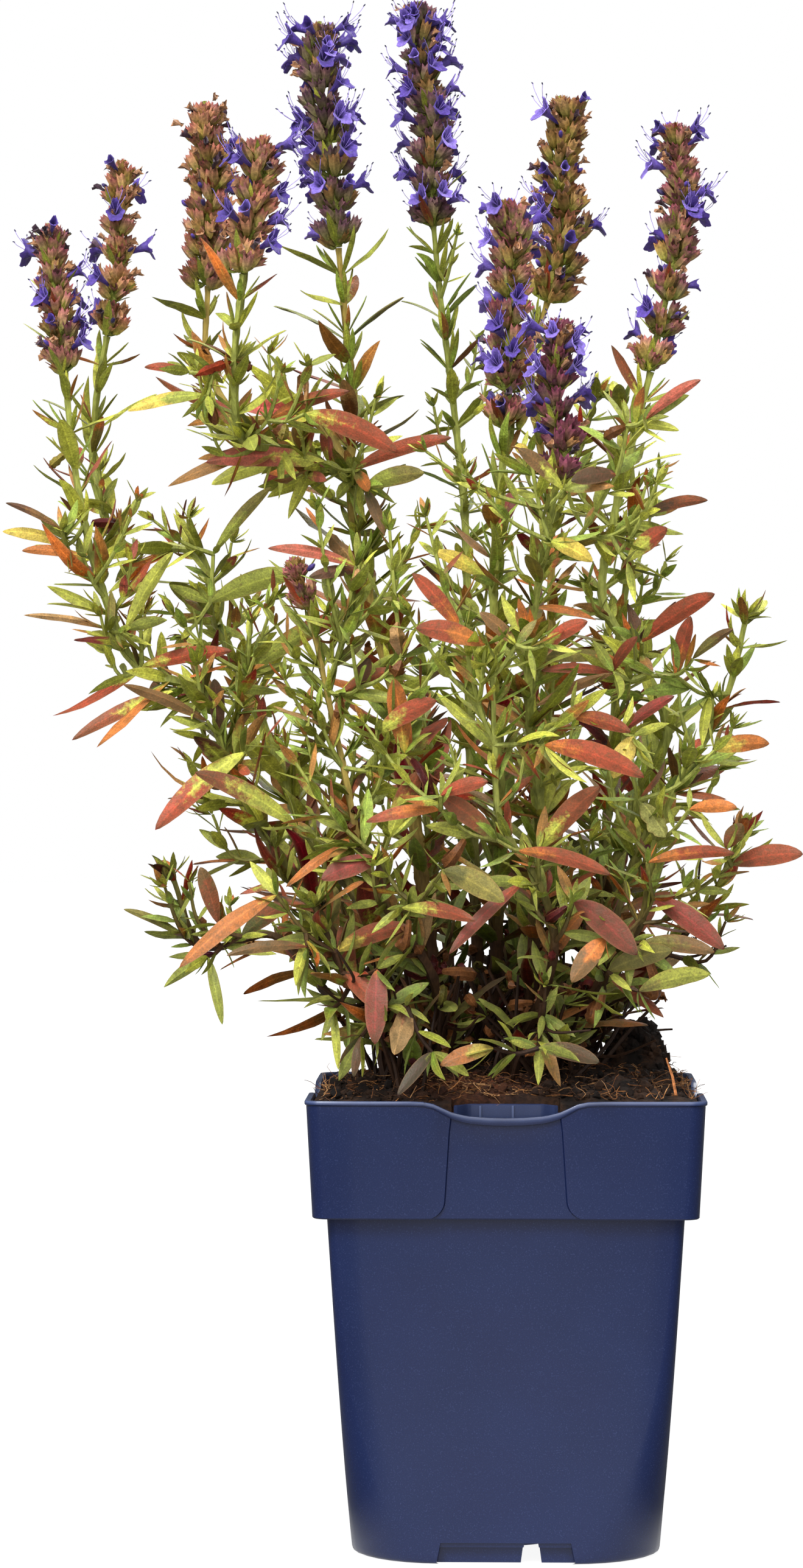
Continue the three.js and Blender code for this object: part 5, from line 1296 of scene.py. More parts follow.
def corolla_template(opening=1.0):
    """opening is 1 for a flower in full bloom and smaller for one that is only half open."""
    right = np.array(CORNER_ANGLES, float)
    angles = np.concatenate([right, 180 - right[-2:0:-1]])
    lip = (0.6 + 2.7 * lobe(angles, 90, 34) - 0.6 * lobe(angles, 90, 9) + 1.2 * lobe(angles, 202, 20)
           + 1.2 * lobe(angles, -22, 20) + 3.2 * lobe(angles, 270, 40) - 0.8
           * lobe(angles, 270, 10)) * opening
    down = 0.5 - 0.5 * np.sin(np.radians(angles))
    final = np.radians(28 + 72 * down) * opening
    around_tube = np.column_stack([np.sin(np.radians(angles)), np.cos(np.radians(angles)), 0 * angles])

    def tube_ring(height, radius):
        return around_tube * radius + UP * height

    def lip_ring(share, inward):
        steps = 8
        radius, height = MOUTH_RADIUS, MOUTH_HEIGHT
        for step in range(steps):
            bend = final * (0.35 + 0.65 * (step + 0.5) / steps * share)
            radius = radius + np.sin(bend) * lip * share / steps
            height = height + np.cos(bend) * lip * share / steps
        bend = final * (0.35 + 0.65 * share)
        radius = radius - np.cos(bend) * inward
        height = height + np.sin(bend) * inward
        return around_tube * radius[:, None] + UP * height[:, None]

    rings = [tube_ring(0.8, 0.45), tube_ring(3.4, 0.75), tube_ring(MOUTH_HEIGHT, MOUTH_RADIUS),
             lip_ring(0.45, 0),
             lip_ring(1, 0), lip_ring(0.97, PETAL_THICKNESS), lip_ring(0.5, PETAL_THICKNESS),
             tube_ring(4.6, 0.85)]
    points = np.vstack([[0, 0, 0], *rings, [0, 0, 2.8]])
    along = np.concatenate([[0], np.repeat([0, 0.15, 0.45, 0.7, 1, 1, 0.6, 0.1], len(angles)), [0]])
    across = np.concatenate([[0], np.tile(down, len(rings)), [0]])
    # under marks the inner skin of the lips and the throat, which add_copy darkens as painted shade
    under = np.concatenate([[0], np.repeat([0, 0, 0, 0, 0, 0, 0.25, 1.0], len(angles)), [1]])
    return points, tube_faces(len(rings), len(angles)), along, across, under


COROLLA, HALF_OPEN = corolla_template(), corolla_template(0.55)
print("triangles of a corolla:", 2 * len(COROLLA[1][0]) + len(COROLLA[1][1]))


# %% A dry flower: the half open one with every third point around, and only four of its rings
def shrivelled_template():
    points, _, along, across, under = HALF_OPEN
    around_it = 2 * len(CORNER_ANGLES) - 2
    kept = np.concatenate([[0]] + [1 + ring * around_it + np.arange(0, around_it, 3) for ring in (0, 1, 2, 4)]
                          + [[len(points) - 1]])
    return points[kept], tube_faces(4, len(range(0, around_it,
                                                 3))), along[kept], across[kept], under[kept] * 0


SHRIVELLED = shrivelled_template()


# %% A bead serves as a bud or an anther, and a thin rod as a stamen
def bead_template(sides):
    angles = circle(sides)
    rings = [np.column_stack([r * np.cos(angles), r * np.sin(angles), 0 * angles + z])
             for z, r in ((0.25, 0.3), (0.9, 0.5), (1.5, 0.42), (1.85, 0.2))]
    points = np.vstack([[0, 0, 0], *rings, [0, 0, 2]])
    plain = np.zeros(len(points))
    return points, tube_faces(4, sides), points[:, 2] / 2, plain, plain


BEAD, SMALL_BEAD = bead_template(6), bead_template(3)


def add_thread(piece, points, radius, colour):
    add_rod(piece, points, np.full(len(points), radius), sides=3, tint=colour)


# %% Colours of the flower heads: a calyx takes one of the first at its foot and one of the last at its teeth
HEADS = {name: [[linear(colour) for colour in colours.split()] for colours in pair] for name, pair in {
    "violet": ("#7c7f3e #6a7038 #8a8a48", "#70405c #5c344c #8a5468 #7c5460"),
    "plum": ("#8e9a3c #7c8838 #a0a048", "#a04a60 #7e3854 #b06468 #94505a"),
    "rust": ("#a0a044 #8c903c #b0a452", "#b0625c #bc7a64 #8e4648 #a05c62"),
    "straw": ("#939a3a #808834 #aa9c48", "#a06c48 #8c4e42 #b08458 #7c4640"),
    "magenta": ("#7a6a42 #68603a", "#7e3452 #944664 #602c48")}.items()}
DRIED_CUP, FRESH_CUP = linear("#9a6a42"), linear("#7a8436")
# PETAL_HIGHLIGHT is a painted highlight for the lip edges, standing for light that shines through them
PETAL, PETAL_HIGHLIGHT, PETAL_DARK = (linear(c) for c in ("#523c96", "#7e68c2", "#2e1f56"))
WITHERED, WITHERED_DARK = linear("#b0805a"), linear("#4a3242")
FILAMENT, ANTHER = linear("#8a74c4"), linear("#2c2a50")
BRACT_COLOURS = (("green", "green"), ("deep", "green"), ("green", "lime"), ("olive", "brick"))

# %% [markdown]
# ## The spikes
#
# A spike is a stem with whorls of calyces, narrow green bracts below each whorl, open flowers on some of the
# calyces, buds in others and dry brown remains in those that have flowered. How many of each depends on the
# spike: the two in the middle are in full bloom and the ones on the left and the right are going to seed.


# %% One calyx on its stalk, and one whorl
WHORL_SPACING = WHORL_HEIGHT = 7.2
# each tier: how many, share of the reach, share of the height, tilt above the level in degrees, size
TIERS = [(7, (0.88, 1.03), (0.7, 1.0), (36, 64), (0.75, 0.95)),
         (6, (0.4, 0.8), (1.0, 1.5), (55, 80), (0.8, 1.0)),
         (5, (0.6, 0.95), (0.35, 0.65), (20, 48), (0.65, 0.88))]


def add_calyx(cups, greens, foot, end, way, size, head, up):
    low, high = (colours[luck.integers(len(colours))] for colours in HEADS[head])
    mix = luck.random()
    base = end - way * CALYX_LENGTH * size
    add_copy(cups, CALYX, base, way, up, size, FRESH_CUP if mix < 0.12 else low,
             DRIED_CUP if mix > 0.85 else high,
             shade=0.25, crumple=0.07)
    if np.linalg.norm(base - foot) > 0.8:
        add_thread(greens, np.array([foot, (foot + base) / 2 - up * 0.2, base + way * 0.5]), 0.42, FRESH_CUP)


def add_whorl(cups, greens, centre, frame_here, reach, height, level, share, head):
    axis = frame_here[0]
    for tier, (count, reaches, heights, tilts, sizes) in enumerate(TIERS):
        for i in range(count):
            angle = (i + (tier + level) % 2 / 2 + between(-0.25, 0.25)) / count * 2 * math.pi
            out = outward(frame_here, angle)
            end = centre + out * reach * between(*reaches) + axis * height * between(*heights)
            tilt = math.radians(between(*tilts))
            way = unit(out * math.cos(tilt) + axis * math.sin(tilt) + luck.normal(0, 0.12, 3))
            size = between(*sizes) * min(1, 0.45 + reach / 12)
            add_calyx(cups, greens, centre + out * 0.8, end, way, size, head,
                      outward(frame_here, angle + between(-0.5, 0.5)))
    for half in (0, math.pi):
        angle = (level % 2) * math.pi / 2 + half + between(-0.3, 0.3)
        foot = centre + outward(frame_here, angle) * 0.9 - axis * 0.6
        for swing, lengths, pitches, slim in ((0, (7, 12), (0.4, 0.9), 0.2), (-0.7, (4, 7), (0.4, 1.0), 0.16),
                                              (0.7, (4, 7), (0.4, 1.0), 0.16)):
            length = between(*lengths) * (1 if swing else 1.2 - 0.6 * share)
            bract = free_leaf(foot, axis, outward(frame_here, angle + swing), length, between(*pitches), slim,
                              droop=0)
            add_leaf(greens, bract, BRACT_COLOURS[luck.integers(4)], grade="small", fold=0.4)


# %% One open flower with its stamens, a bud, a dry remain
# each stamen: how far it swings aside, how far it lifts, its length in mm
STAMENS = ((-0.5, 0.25, 6.0), (0.5, 0.25, 6.2), (-0.95, 0.0, 4.6), (0.95, 0.0, 4.4))


def add_flower(petals, stamens, mouth, heading, axis, size, half_open, ceiling):
    """ceiling is a height that the flower's lips stay below."""
    mouth = mouth - UP * max(0, mouth[2] + 5 * size - ceiling)
    foot = mouth - heading * MOUTH_HEIGHT * size
    # four flowers in ten get a painted highlight at their lip edges; the rest keep the plain petal colour
    # there
    light = PETAL_HIGHLIGHT if luck.random() < 0.4 else PETAL
    spin = between(-0.35, 0.35)
    up = axis * math.cos(spin) + np.cross(heading, axis) * math.sin(spin)
    add_copy(petals, HALF_OPEN if half_open else COROLLA, foot, heading, up, size, PETAL * 0.7, light,
             shade=0.22,
             crumple=0.06)
    if half_open:
        return
    first, second, _ = turned_to(heading, axis)
    for swing, lift, length in STAMENS:
        way = unit(heading + second * swing * between(0.6, 1.2) + first * (lift + between(0, 0.35)))
        length = length * size * between(0.85, 1.2)
        path = np.array([mouth - heading * 2, mouth + way * length * 0.35,
                         mouth + way * length * 0.8 + first * 0.5,
                         mouth + way * length + first * 1.1])
        add_thread(stamens, path, 0.1, FILAMENT)
        add_copy(stamens, SMALL_BEAD, path[-1] - way * 0.4, way + second * 0.3, first, 0.5, ANTHER, ANTHER)


def add_remain(petals, place, way, up):
    colour = WITHERED_DARK if luck.random() < 0.3 else WITHERED
    add_copy(petals, SHRIVELLED, place, way, up, between(0.42, 0.65), colour * 0.7, colour, shade=0.25,
             crumple=0.3)


def add_bud(petals, place, way, up):
    size = between(1.1, 1.7)
    tip = PETAL if luck.random() < 0.6 else PETAL_DARK
    add_copy(petals, BEAD, place, way, up, size, PETAL_DARK, tip, shade=0.2)


# %% One spike: whorls around a stem top, then flowers, dry remains and buds on them
HIGHEST_LIP = 448  # mm: all florets stay below this, so that the tallest spike ends in its calyces


def build_spike(stem, seed):
    cups, greens, petals, stamens = Skins(), Skins(), Skins(), Skins()
    spike = stem["spike"]
    route = np.array(spike["route"])
    top = len(stem["points"]) - 1
    route[0] = stem["points"][top] + direction_at(stem["points"], top) * 0.35
    centres = walk(route, WHORL_SPACING * (1 + 0.4 * spike["open"]), spike["open"])
    frames = frames_along(centres)
    last = len(centres) - 1
    heights = np.minimum(step_lengths(centres), WHORL_HEIGHT)
    reaches = spike["reach"] * (1 - 0.35 * (np.arange(last) / last) ** 2)
    for level in range(last):
        add_whorl(cups, greens, centres[level] + luck.normal(0, 0.3, 3), frames[level],
                  reaches[level] * between(0.92, 1.03), heights[level] * (0.65 if level == last - 1 else 1),
                  level, level / last, spike["head"])
    path = smooth_through(route, 3)
    add_rod(greens, path, np.linspace(1.1, 0.6, len(path)))
    for i in range(7):
        out = outward(frames[last], i * 0.9)
        way = unit(frames[last][0] + out * (0.5 if i else 0))
        end = centres[last] + out * between(0, 2.2) - frames[last][0] * between(0, 1.5)
        add_calyx(cups, greens, end - way * 4, end, way, between(0.55, 0.75), spike["head"], frames[last][1])
    draw = seeded_draw(seed)
    ceiling = min(centres[last][2] + 3.5, HIGHEST_LIP)

    def around_level(level, angle, rise):
        axis = frames[level][0]
        out = outward(frames_along(np.array([centres[level], centres[level] + axis]))[0], angle)
        return axis, out, centres[level] + axis * heights[level] * rise

    for i in range(spike["florets"]):
        level = int(last * (i + draw()) / spike["florets"])
        axis, out, centre = around_level(level, i * 2.4 + draw(), 0.4)
        heading = unit(axis * (0.35 + 0.3 * draw()) + out)
        is_open = luck.random() < spike["bloom"]
        if spike["bloom"] == 0:
            add_remain(petals, centre + heading * (spike["reach"] - 0.5), heading, axis)
            continue
        add_flower(petals, stamens, centre + heading * (spike["reach"] + 4.6) * (0.8 if is_open else 0.72),
                   heading,
                   axis, between(1.0, 1.18) if is_open else 0.85, half_open=not is_open, ceiling=ceiling)

    def somewhere():
        level = luck.integers(last)
        topmost = level == last - 1
        axis, out, centre = around_level(level, between(0, 2 * math.pi),
                                         between(0.1, 0.3) if topmost else between(0.2, 0.75))
        return centre, axis, unit(axis * between(0.4, 0.5 if topmost else 0.9) + out), reaches[level]

    for i in range(spike["more"] * 2):
        centre, axis, way, reach = somewhere()
        add_flower(petals, stamens, centre + way * (reach + between(1.0, 2.8)), way, axis,
                   between(0.88, 1.14), half_open=luck.random() < 0.3, ceiling=ceiling)
    for i in range(spike["remains"] * 4):
        centre, axis, way, reach = somewhere()
        add_remain(petals, centre + way * (reach - between(0.5, 2.5)), way, axis)
    for i in range(last):
        centre, axis, way, reach = somewhere()
        add_bud(petals, centre + way * (reach - between(0.3, 1.5)), way, axis)
    return cups, greens, petals, stamens


# %% [markdown]
# ## What calyces and petals are
#
# A calyx is a ribbed green cup with a matt, downy skin, flushed with plum and speckled by oil glands. A petal
# is thin and silky: light spreads on it, so it has little gloss and a trace of sheen, and its colour is
# uneven where veins run. Both have the low index of wax and water. Glands and veins are finer than 0.3 mm,
# and are drawn at 0.9 mm and 0.7 mm so that they show.

# %% Calyx material
GLAND_MM, PETAL_VEIN_MM = 0.9, 0.7
calyx_paint, add, on_calyx = new_material("hyssop_calyx")
tint = add("Attribute", {"attribute_name": "tint"})
across = add("Attribute", {"attribute_name": "across"}).outputs["Fac"]
speck = add("TexNoise", {"Scale": 1 / (GLAND_MM * MM), "Detail": 4.0, "Roughness": 0.65}, {0: on_calyx})
speck_light = add("MapRange", {1: 0.32, 2: 0.68, 3: 0.55, 4: 1.35}, {0: speck})
rib_light = add("MapRange", {3: 0.8, 4: 1.12}, {0: across})
light = add("Math", {"operation": "MULTIPLY"}, {0: speck_light, 1: rib_light})
speckled = add("VectorMath", {"operation": "SCALE"}, {0: tint, "Scale": light})
bump = add("Bump", {"Strength": 0.5, "Distance": 0.15 * MM}, {"Height": speck})
shader = add("BsdfPrincipled", {"Roughness": 0.6, "IOR": 1.45, "Specular IOR Level": 0.25},
             {"Base Color": speckled, "Normal": bump})
add("OutputMaterial", links={"Surface": shader})

# %% Petal material, also for the stamens
petal_paint, add, on_petal = new_material("hyssop_petal")
tint = add("Attribute", {"attribute_name": "tint"})
veins = add("TexNoise", {"Scale": 1 / (PETAL_VEIN_MM * MM), "Detail": 3.0}, {0: on_petal})
light = add("MapRange", {1: 0.35, 2: 0.65, 3: 0.75, 4: 1.25}, {0: veins})
veined = add("VectorMath", {"operation": "SCALE"}, {0: tint, "Scale": light})
shader = add("BsdfPrincipled", {"Roughness": 0.55, "IOR": 1.4, "Sheen Weight": 0.15}, {"Base Color": veined})
add("OutputMaterial", links={"Surface": shader})

# %% Make the spikes
for i, stem in enumerate(grown):
    if "spike" not in stem:
        continue
    cups, greens, petals, stamens = build_spike(stem, FIRST_SEED + SEED_STEP * i)
    node = "spike_" + stem["name"]
    make_piece("calyces_" + stem["name"], cups, calyx_paint, [node], crease=35)
    make_piece("bracts_" + stem["name"], greens, leaf_paint, [node])
    if petals.count:
        make_piece("petals_" + stem["name"], petals, petal_paint, [node], crease=60)
    if stamens.count:
        make_piece("stamens_" + stem["name"], stamens, petal_paint, [node])
print("triangles of the flower heads:", sum(count for name, count in face_totals.items()
                                            if name.startswith(("calyces", "bracts", "petals", "stamens"))))

# %% [markdown]
# ## Peat compost
#
# The pot is filled with coarse peat: dark brown crumbs, bark and a felt of fine roots and coconut fibre, some
# of it bright orange. A displaced plane could give the relief, but it would have no underside and would cut
# through the stems. The bed is a closed skin instead: a fine grid on top, whose border runs down inside the
# pot to its floor. Loose crumbs and fibres lie on it as pieces of their own.

# %% The pot's own measures, which the soil has to fit
POT_HEIGHT, RIM_WIDTH = 128.1, 110
COLLAR_BOTTOM, COLLAR_BOTTOM_WIDTH, COLLAR_TOP_WIDTH = 95.7, 105.8, 109.2
BODY_TOP_WIDTH, FOOT_WIDTH = 98, 86
WALL, FLOOR_UNDERSIDE, FLOOR_TOP = 1.3, 4.6, 6.2
COLLAR_CORNER = 4.5
SOIL_GAP = 0.35


def body_half(z):
    return (FOOT_WIDTH + (BODY_TOP_WIDTH - FOOT_WIDTH) * z / COLLAR_BOTTOM) / 2


def body_corner(z):
    return 3 + 21 * max(0, 1 - z / COLLAR_BOTTOM) ** 3.3


def collar_half(z):
    up = (z - COLLAR_BOTTOM) / (POT_HEIGHT - COLLAR_BOTTOM)
    return (COLLAR_BOTTOM_WIDTH + (COLLAR_TOP_WIDTH - COLLAR_BOTTOM_WIDTH) * up) / 2


def on_rounded_square(u, v, half, corner):
    """Takes a square from -1 to 1 to a square with round corners."""
    x, y = u * half, v * half
    dx, dy = np.maximum(np.abs(x) - (half - corner), 0), np.maximum(np.abs(y) - (half - corner), 0)
    squeeze = np.where((dx > 0) & (dy > 0), np.maximum(dx, dy) / np.maximum(np.hypot(dx, dy), 1e-9), 1)
    x = np.where(dx * dy > 0, np.sign(x) * (half - corner + dx * squeeze), x)
    y = np.where(dx * dy > 0, np.sign(y) * (half - corner + dy * squeeze), y)
    return x, y


# %% The bed: a fine grid that turns down at its border and closes on the pot's floor
BED_CELLS = 128
LABEL_ROOM = dict(half_width=14.5, back=-47.3, low=106.5)


def grain_noise(x, y, size, shift=0.0):
    return np.array([noise.noise(Vector((a / size, b / size, shift))) for a, b in zip(x, y)])


def soil_bed():
    count = BED_CELLS + 1
    steps = np.linspace(-1, 1, count)
    v, u = (grid.ravel() for grid in np.meshgrid(steps, steps, indexing="ij"))
    x, y = on_rounded_square(u, v, collar_half(POT_HEIGHT - 3) - WALL - SOIL_GAP, COLLAR_CORNER - 0.8)
    inner = 1 - np.clip(np.maximum(np.abs(u), np.abs(v)) * 12 - 11, 0, 1)
    z = soil_height(x, y) + inner * (1.1 * grain_noise(x, y, 7) + 0.9 * grain_noise(x, y, 2.6, 3)
                                     + 0.5 * grain_noise(x, y, 1.2, 7))
    in_label_room = (np.abs(x) < LABEL_ROOM["half_width"]) & (y < LABEL_ROOM["back"])
    z = np.where(in_label_room, LABEL_ROOM["low"], z)
    y = np.where(in_label_room, np.maximum(y, WALL + SOIL_GAP - collar_half(LABEL_ROOM["low"])), y)
    index = np.arange(count * count).reshape(count, count)
    quads = [np.stack([index[:-1, :-1], index[:-1, 1:], index[1:, 1:], index[1:, :-1]], -1).reshape(-1, 4)]
    border = np.concatenate([index[0, :-1], index[:-1, -1], index[-1, :0:-1], index[:0:-1, 0]])
    points = [np.column_stack([x, y, z])]
    inset, shelf = WALL + SOIL_GAP, COLLAR_BOTTOM + WALL + SOIL_GAP
    levels = [(shelf + 0.01, collar_half(shelf) - inset, COLLAR_CORNER - 0.8)]
    levels += [(height, body_half(height) - inset, body_corner(height) - inset / 2)
               for height in (shelf, 52, 28, 12, FLOOR_TOP + SOIL_GAP)]
    above, total = border, len(x)
    for height, half, corner in levels:
        ring_x, ring_y = on_rounded_square(u[border], v[border], half, corner)
        points.append(np.column_stack([ring_x, ring_y, np.full(len(border), height)]))
        below = total + np.arange(len(border))
        total += len(border)
        quads.append(np.stack([above, np.roll(above, -1), np.roll(below, -1), below], -1)[:, ::-1])
        above = below
    points.append([[0, 0, FLOOR_TOP + SOIL_GAP]])
    triangles = np.column_stack([above, np.roll(above, -1), np.full(len(above), total)])[:, ::-1]
    return np.vstack(points), (np.vstack(quads), triangles)


# %% Its colours, point by point
PEAT, PEAT_LIGHT, PEAT_ORANGE = linear("#150c07"), linear("#332012"), linear("#5e2f14")


def soil_tint(x, y):
    """Dark peat with paler spots, and one patch of orange fibre near the front."""
    pale = np.clip(grain_noise(x, y, 5, 11) * 1.6 + 0.35, 0, 1)[:, None]
    patch = np.exp(-((x + 10) / 13) ** 2 - ((y + 38) / 9) ** 2)[:, None]
    return (PEAT * (1 - pale) + PEAT_LIGHT * pale) * (1 - 0.8 * patch) + PEAT_ORANGE * 0.8 * patch


def with_blanks(tints):
    """A row of values for each point, with its colour and no more."""
    return np.column_stack([tints, np.zeros((len(tints), 4))])


bed = Skins()
bed_points, bed_faces = soil_bed()
bed.add(bed_points, bed_faces, with_blanks(soil_tint(bed_points[:, 0], bed_points[:, 1])))
print("triangles of the bed:", 2 * len(bed_faces[0]) + len(bed_faces[1]))

# %% A crumb: a solid of twenty sides, stretched and dented by chance
GOLDEN = (1 + math.sqrt(5)) / 2
LONG_SHORT = [(long, short) for long in (GOLDEN, -GOLDEN) for short in (1, -1)]
CRUMB_POINTS = np.array([(0, short, long) for long, short in LONG_SHORT]
                        + [(short, long, 0) for long, short in LONG_SHORT]
                        + [(long, 0, short) for long, short in LONG_SHORT]) / 1.9
CRUMB_FACES = np.array([(0, 1, 8), (0, 8, 4), (0, 4, 5), (0, 5, 10), (0, 10, 1), (1, 6, 8), (8, 6, 9),
                        (8, 9, 4),
                        (4, 9, 2), (4, 2, 5), (5, 2, 11), (5, 11, 10), (10, 11, 7), (10, 7, 1), (1, 7, 6),
                        (3, 9, 6), (3, 2, 9), (3, 11, 2), (3, 7, 11), (3, 6, 7)])
NO_QUADS = np.zeros((0, 4), int)


def on_soil(x, y):
    """True where a loose piece may lie: inside the rim and clear of the label pocket."""
    clear_of_label = abs(x) > LABEL_ROOM["half_width"] + 0.9 or y > LABEL_ROOM["back"] + 0.6
    return max(abs(x), abs(y)) < 50 and clear_of_label


def add_crumb(piece, place, size):
    stretch = between(0.6, 1.2, 3) * size
    points = CRUMB_POINTS * stretch * (1 + luck.normal(0, 0.16, (12, 1)))
    points = points @ turned_to(luck.normal(0, 1, 3), luck.normal(0, 1, 3)) + place
    tint = soil_tint(place[:1], place[1:2])[0] * between(0.5, 1.5)
    piece.add(points, (NO_QUADS, CRUMB_FACES), with_blanks(np.tile(tint, (12, 1))))


# %% Scatter crumbs over the bed, and thickly over the lump at the back right
CRUMBS_ON_BED, CRUMBS_ON_LUMP, LUMP_TOP = 1900, 420, 145
crumbs = Skins()
while len(crumbs.points) < CRUMBS_ON_BED:
    x, y = between(-51, 51, 2)
    if on_soil(x, y):
        size = luck.choice([0.45, 0.7, 1.1, 1.7], p=[0.4, 0.35, 0.2, 0.05])
        add_crumb(crumbs, np.array([x, y, soil_height(x, y) + size * 0.5]), size)
for _ in range(CRUMBS_ON_LUMP):
    angle, height = between(0, 2 * math.pi), between(0, 1)
    radius = SOIL_LUMP["radius"] * (1.0 - 0.75 * height)
    x, y = SOIL_LUMP["x"] + radius * math.cos(angle), SOIL_LUMP["y"] + radius * math.sin(angle)
    add_crumb(crumbs, np.array([x, y, min(soil_height(x, y) + 0.4, LUMP_TOP)]),
              luck.choice([0.5, 0.8, 1.2, 1.9]))

# %% Fibres, fine roots at the rim, and one straw
FIBRES, RIM_ROOTS = 1700, 70
FIBRE_COLOURS = [linear(c) for c in ("#7c4e2c", "#9a6638", "#b8895a", "#4e3220", "#60422a", "#38251a")]
fibres = Skins()


def add_fibre(place, heading, length, radius, colour):
    heading = unit(heading)
    side = unit(np.cross(heading, (0.1, 0.2, 1)))
    bend = between(-0.35, 0.35, 2) * length
    share = np.linspace(0, 1, 6)[:, None]
    path = (place + heading * length * share + side * bend[0] * np.sin(share * between(3, 7))
            + UP * bend[1] * 0.4 * np.sin(share * 5))
    add_rod(fibres, path, radius * (1 - 0.5 * share[:, 0] ** 2), sides=3, tint=colour)


for i in range(FIBRES):
    x, y = between(-50, 50, 2)
    if i % 4 == 0:
        x, y = luck.normal(-10, 11), luck.normal(-38, 7)
    if on_soil(x, y):
        place = np.array([x, y, soil_height(x, y) + between(0.1, 1.0)])
        heading = np.array([luck.normal(), luck.normal(), luck.normal() * 0.25])
        add_fibre(place, heading, between(1.5, 8.5), between(0.07, 0.18),
                  FIBRE_COLOURS[luck.integers(len(FIBRE_COLOURS))])
for _ in range(RIM_ROOTS):
    side, at = luck.integers(4), between(-48, 48)
    x, y = [(at, 50.5), (at, -49.5), (50.5, at), (-50.5, at)][side]
    if on_soil(x * 0.95, y * 0.95):
        place = np.array([x, y, soil_height(x, y) + 0.6])
        add_fibre(place, np.array([luck.normal() * 0.6, luck.normal() * 0.6, 1.0]), between(2, 6), 0.1,
                  FIBRE_COLOURS[luck.integers(3)])
straw_foot, straw_top = seen(1110, 1800, -44), seen(1094, 1738, -40)
add_rod(fibres, np.array([straw_foot, (straw_foot + straw_top) / 2 + [0.4, 0, 0], straw_top]),
        np.array([0.45, 0.4, 0.25]), sides=5, tint=linear("#c07a48"))
print("crumbs:", len(crumbs.points), "fibres:", len(fibres.points))

# %% [markdown]
# Moist peat takes up nearly all light and mirrors none, so it is almost black between its crumbs. Its grain
# is about a millimetre, crumbs within crumbs, and the same grain lifts the surface by up to half a
# millimetre.

# %% Peat material, and the three soil pieces
PEAT_GRAIN_MM = 1.1
peat_paint, add, in_peat = new_material("peat_compost")
tint = add("Attribute", {"attribute_name": "tint"})
grain = add("TexNoise", {"Scale": 1 / (PEAT_GRAIN_MM * MM), "Detail": 6.0, "Roughness": 0.7}, {0: in_peat})
light = add("MapRange", {1: 0.35, 2: 0.7, 3: 0.45, 4: 1.7}, {0: grain})
grained = add("VectorMath", {"operation": "SCALE"}, {0: tint, "Scale": light})
bump = add("Bump", {"Strength": 0.9, "Distance": 0.5 * MM}, {"Height": grain})
shader = add("BsdfPrincipled", {"Roughness": 0.9, "IOR": 1.4}, {"Base Color": grained, "Normal": bump})
add("OutputMaterial", links={"Surface": shader})
make_piece("soil_bed", bed, peat_paint, ["soil"])
make_piece("soil_crumbs", crumbs, peat_paint, ["soil"], crease=25)
make_piece("soil_fibres", fibres, peat_paint, ["soil"])

# %% [markdown]
# ## The pot
#
# The pot is injection-moulded polypropylene, one skin 1.3 millimetres thick. Its form is a tapered square
# body whose corners open into wide rounds at the foot, a collar that steps out, and a lip that dips in the
# middle of each side. It could be cut from blocks with booleans, but their edges would shade badly on so
# plain a thing. The wall is one closed grid instead: columns run around the pot, rows run up the outside,
# over the lip and down the inside, and both bend so that they follow each edge of the relief.

# %% Lines that the grid follows
DIP_AT = [0, 5, 10.6, 14.6, 17.4, 19.5, 21.3, 24]
DIP_DEEP = [4.5, 4.4, 3.95, 3.0, 1.75, 0.75, 0.2, 0]
PANEL_TOP, PANEL_BOTTOM, PANEL_RECESS, PANEL_CORNER = 14.65, 16.75, 0.7, 5
NOTCH_BOTTOM, NOTCH_TOP, NOTCH_HEIGHT, NOTCH_DEPTH = 18.8, 17.6, 5.9, 3
EDGE_AT, EDGE_WIDTH = 15, 0.35


def relief_edge(z):
    """How far from the middle of a side the edge of its relief lies: the foot notch or the collar's panel."""
    if z <= NOTCH_HEIGHT:
        return NOTCH_BOTTOM + (NOTCH_TOP - NOTCH_BOTTOM) * z / NOTCH_HEIGHT
    if z < COLLAR_BOTTOM:
        spread = (PANEL_BOTTOM + PANEL_CORNER - NOTCH_TOP) * (z - NOTCH_HEIGHT)
        return NOTCH_TOP + spread / (COLLAR_BOTTOM - NOTCH_HEIGHT)
    above = z - COLLAR_BOTTOM
    straight = PANEL_BOTTOM + (PANEL_TOP - PANEL_BOTTOM) * above / (POT_HEIGHT - COLLAR_BOTTOM)
    if above >= PANEL_CORNER:
        return straight
    return straight + PANEL_CORNER - math.sqrt(PANEL_CORNER ** 2 - (PANEL_CORNER - above) ** 2)


ACROSS_COLUMNS = np.linspace(-1, 1, 19)
SIDE_COLUMNS = np.array([0, 0.06, 0.13, 0.21, 0.32, 0.5, 0.75])
CORNER_STEPS = 8


def side_line(z, half, corner, recess):
    """Points of one side of the pot and of the corner at its right end, at height z (the front side)."""
    edge = relief_edge(z)
    end = half - corner
    right = edge + EDGE_WIDTH + (end - edge - EDGE_WIDTH) * SIDE_COLUMNS
    middle = ACROSS_COLUMNS * edge
    across = np.concatenate([-right[::-1], middle, right])
    behind = np.concatenate([0 * right, 0 * middle + recess, 0 * right])
    angles = np.arange(CORNER_STEPS) / CORNER_STEPS * math.pi / 2
    corner_x = end + corner * np.sin(angles)
    corner_y = end + corner * np.cos(angles)
    return np.concatenate([across, corner_x]), np.concatenate([half - behind, corner_y])


def turned(points, turn):
    """Points turned about the pot's axis."""
    c, s = math.cos(turn), math.sin(turn)
    return np.column_stack([points[:, 0] * c - points[:, 1] * s, points[:, 0] * s + points[:, 1] * c,
                            points[:, 2]])


QUARTERS = [quarter * math.pi / 2 for quarter in range(4)]


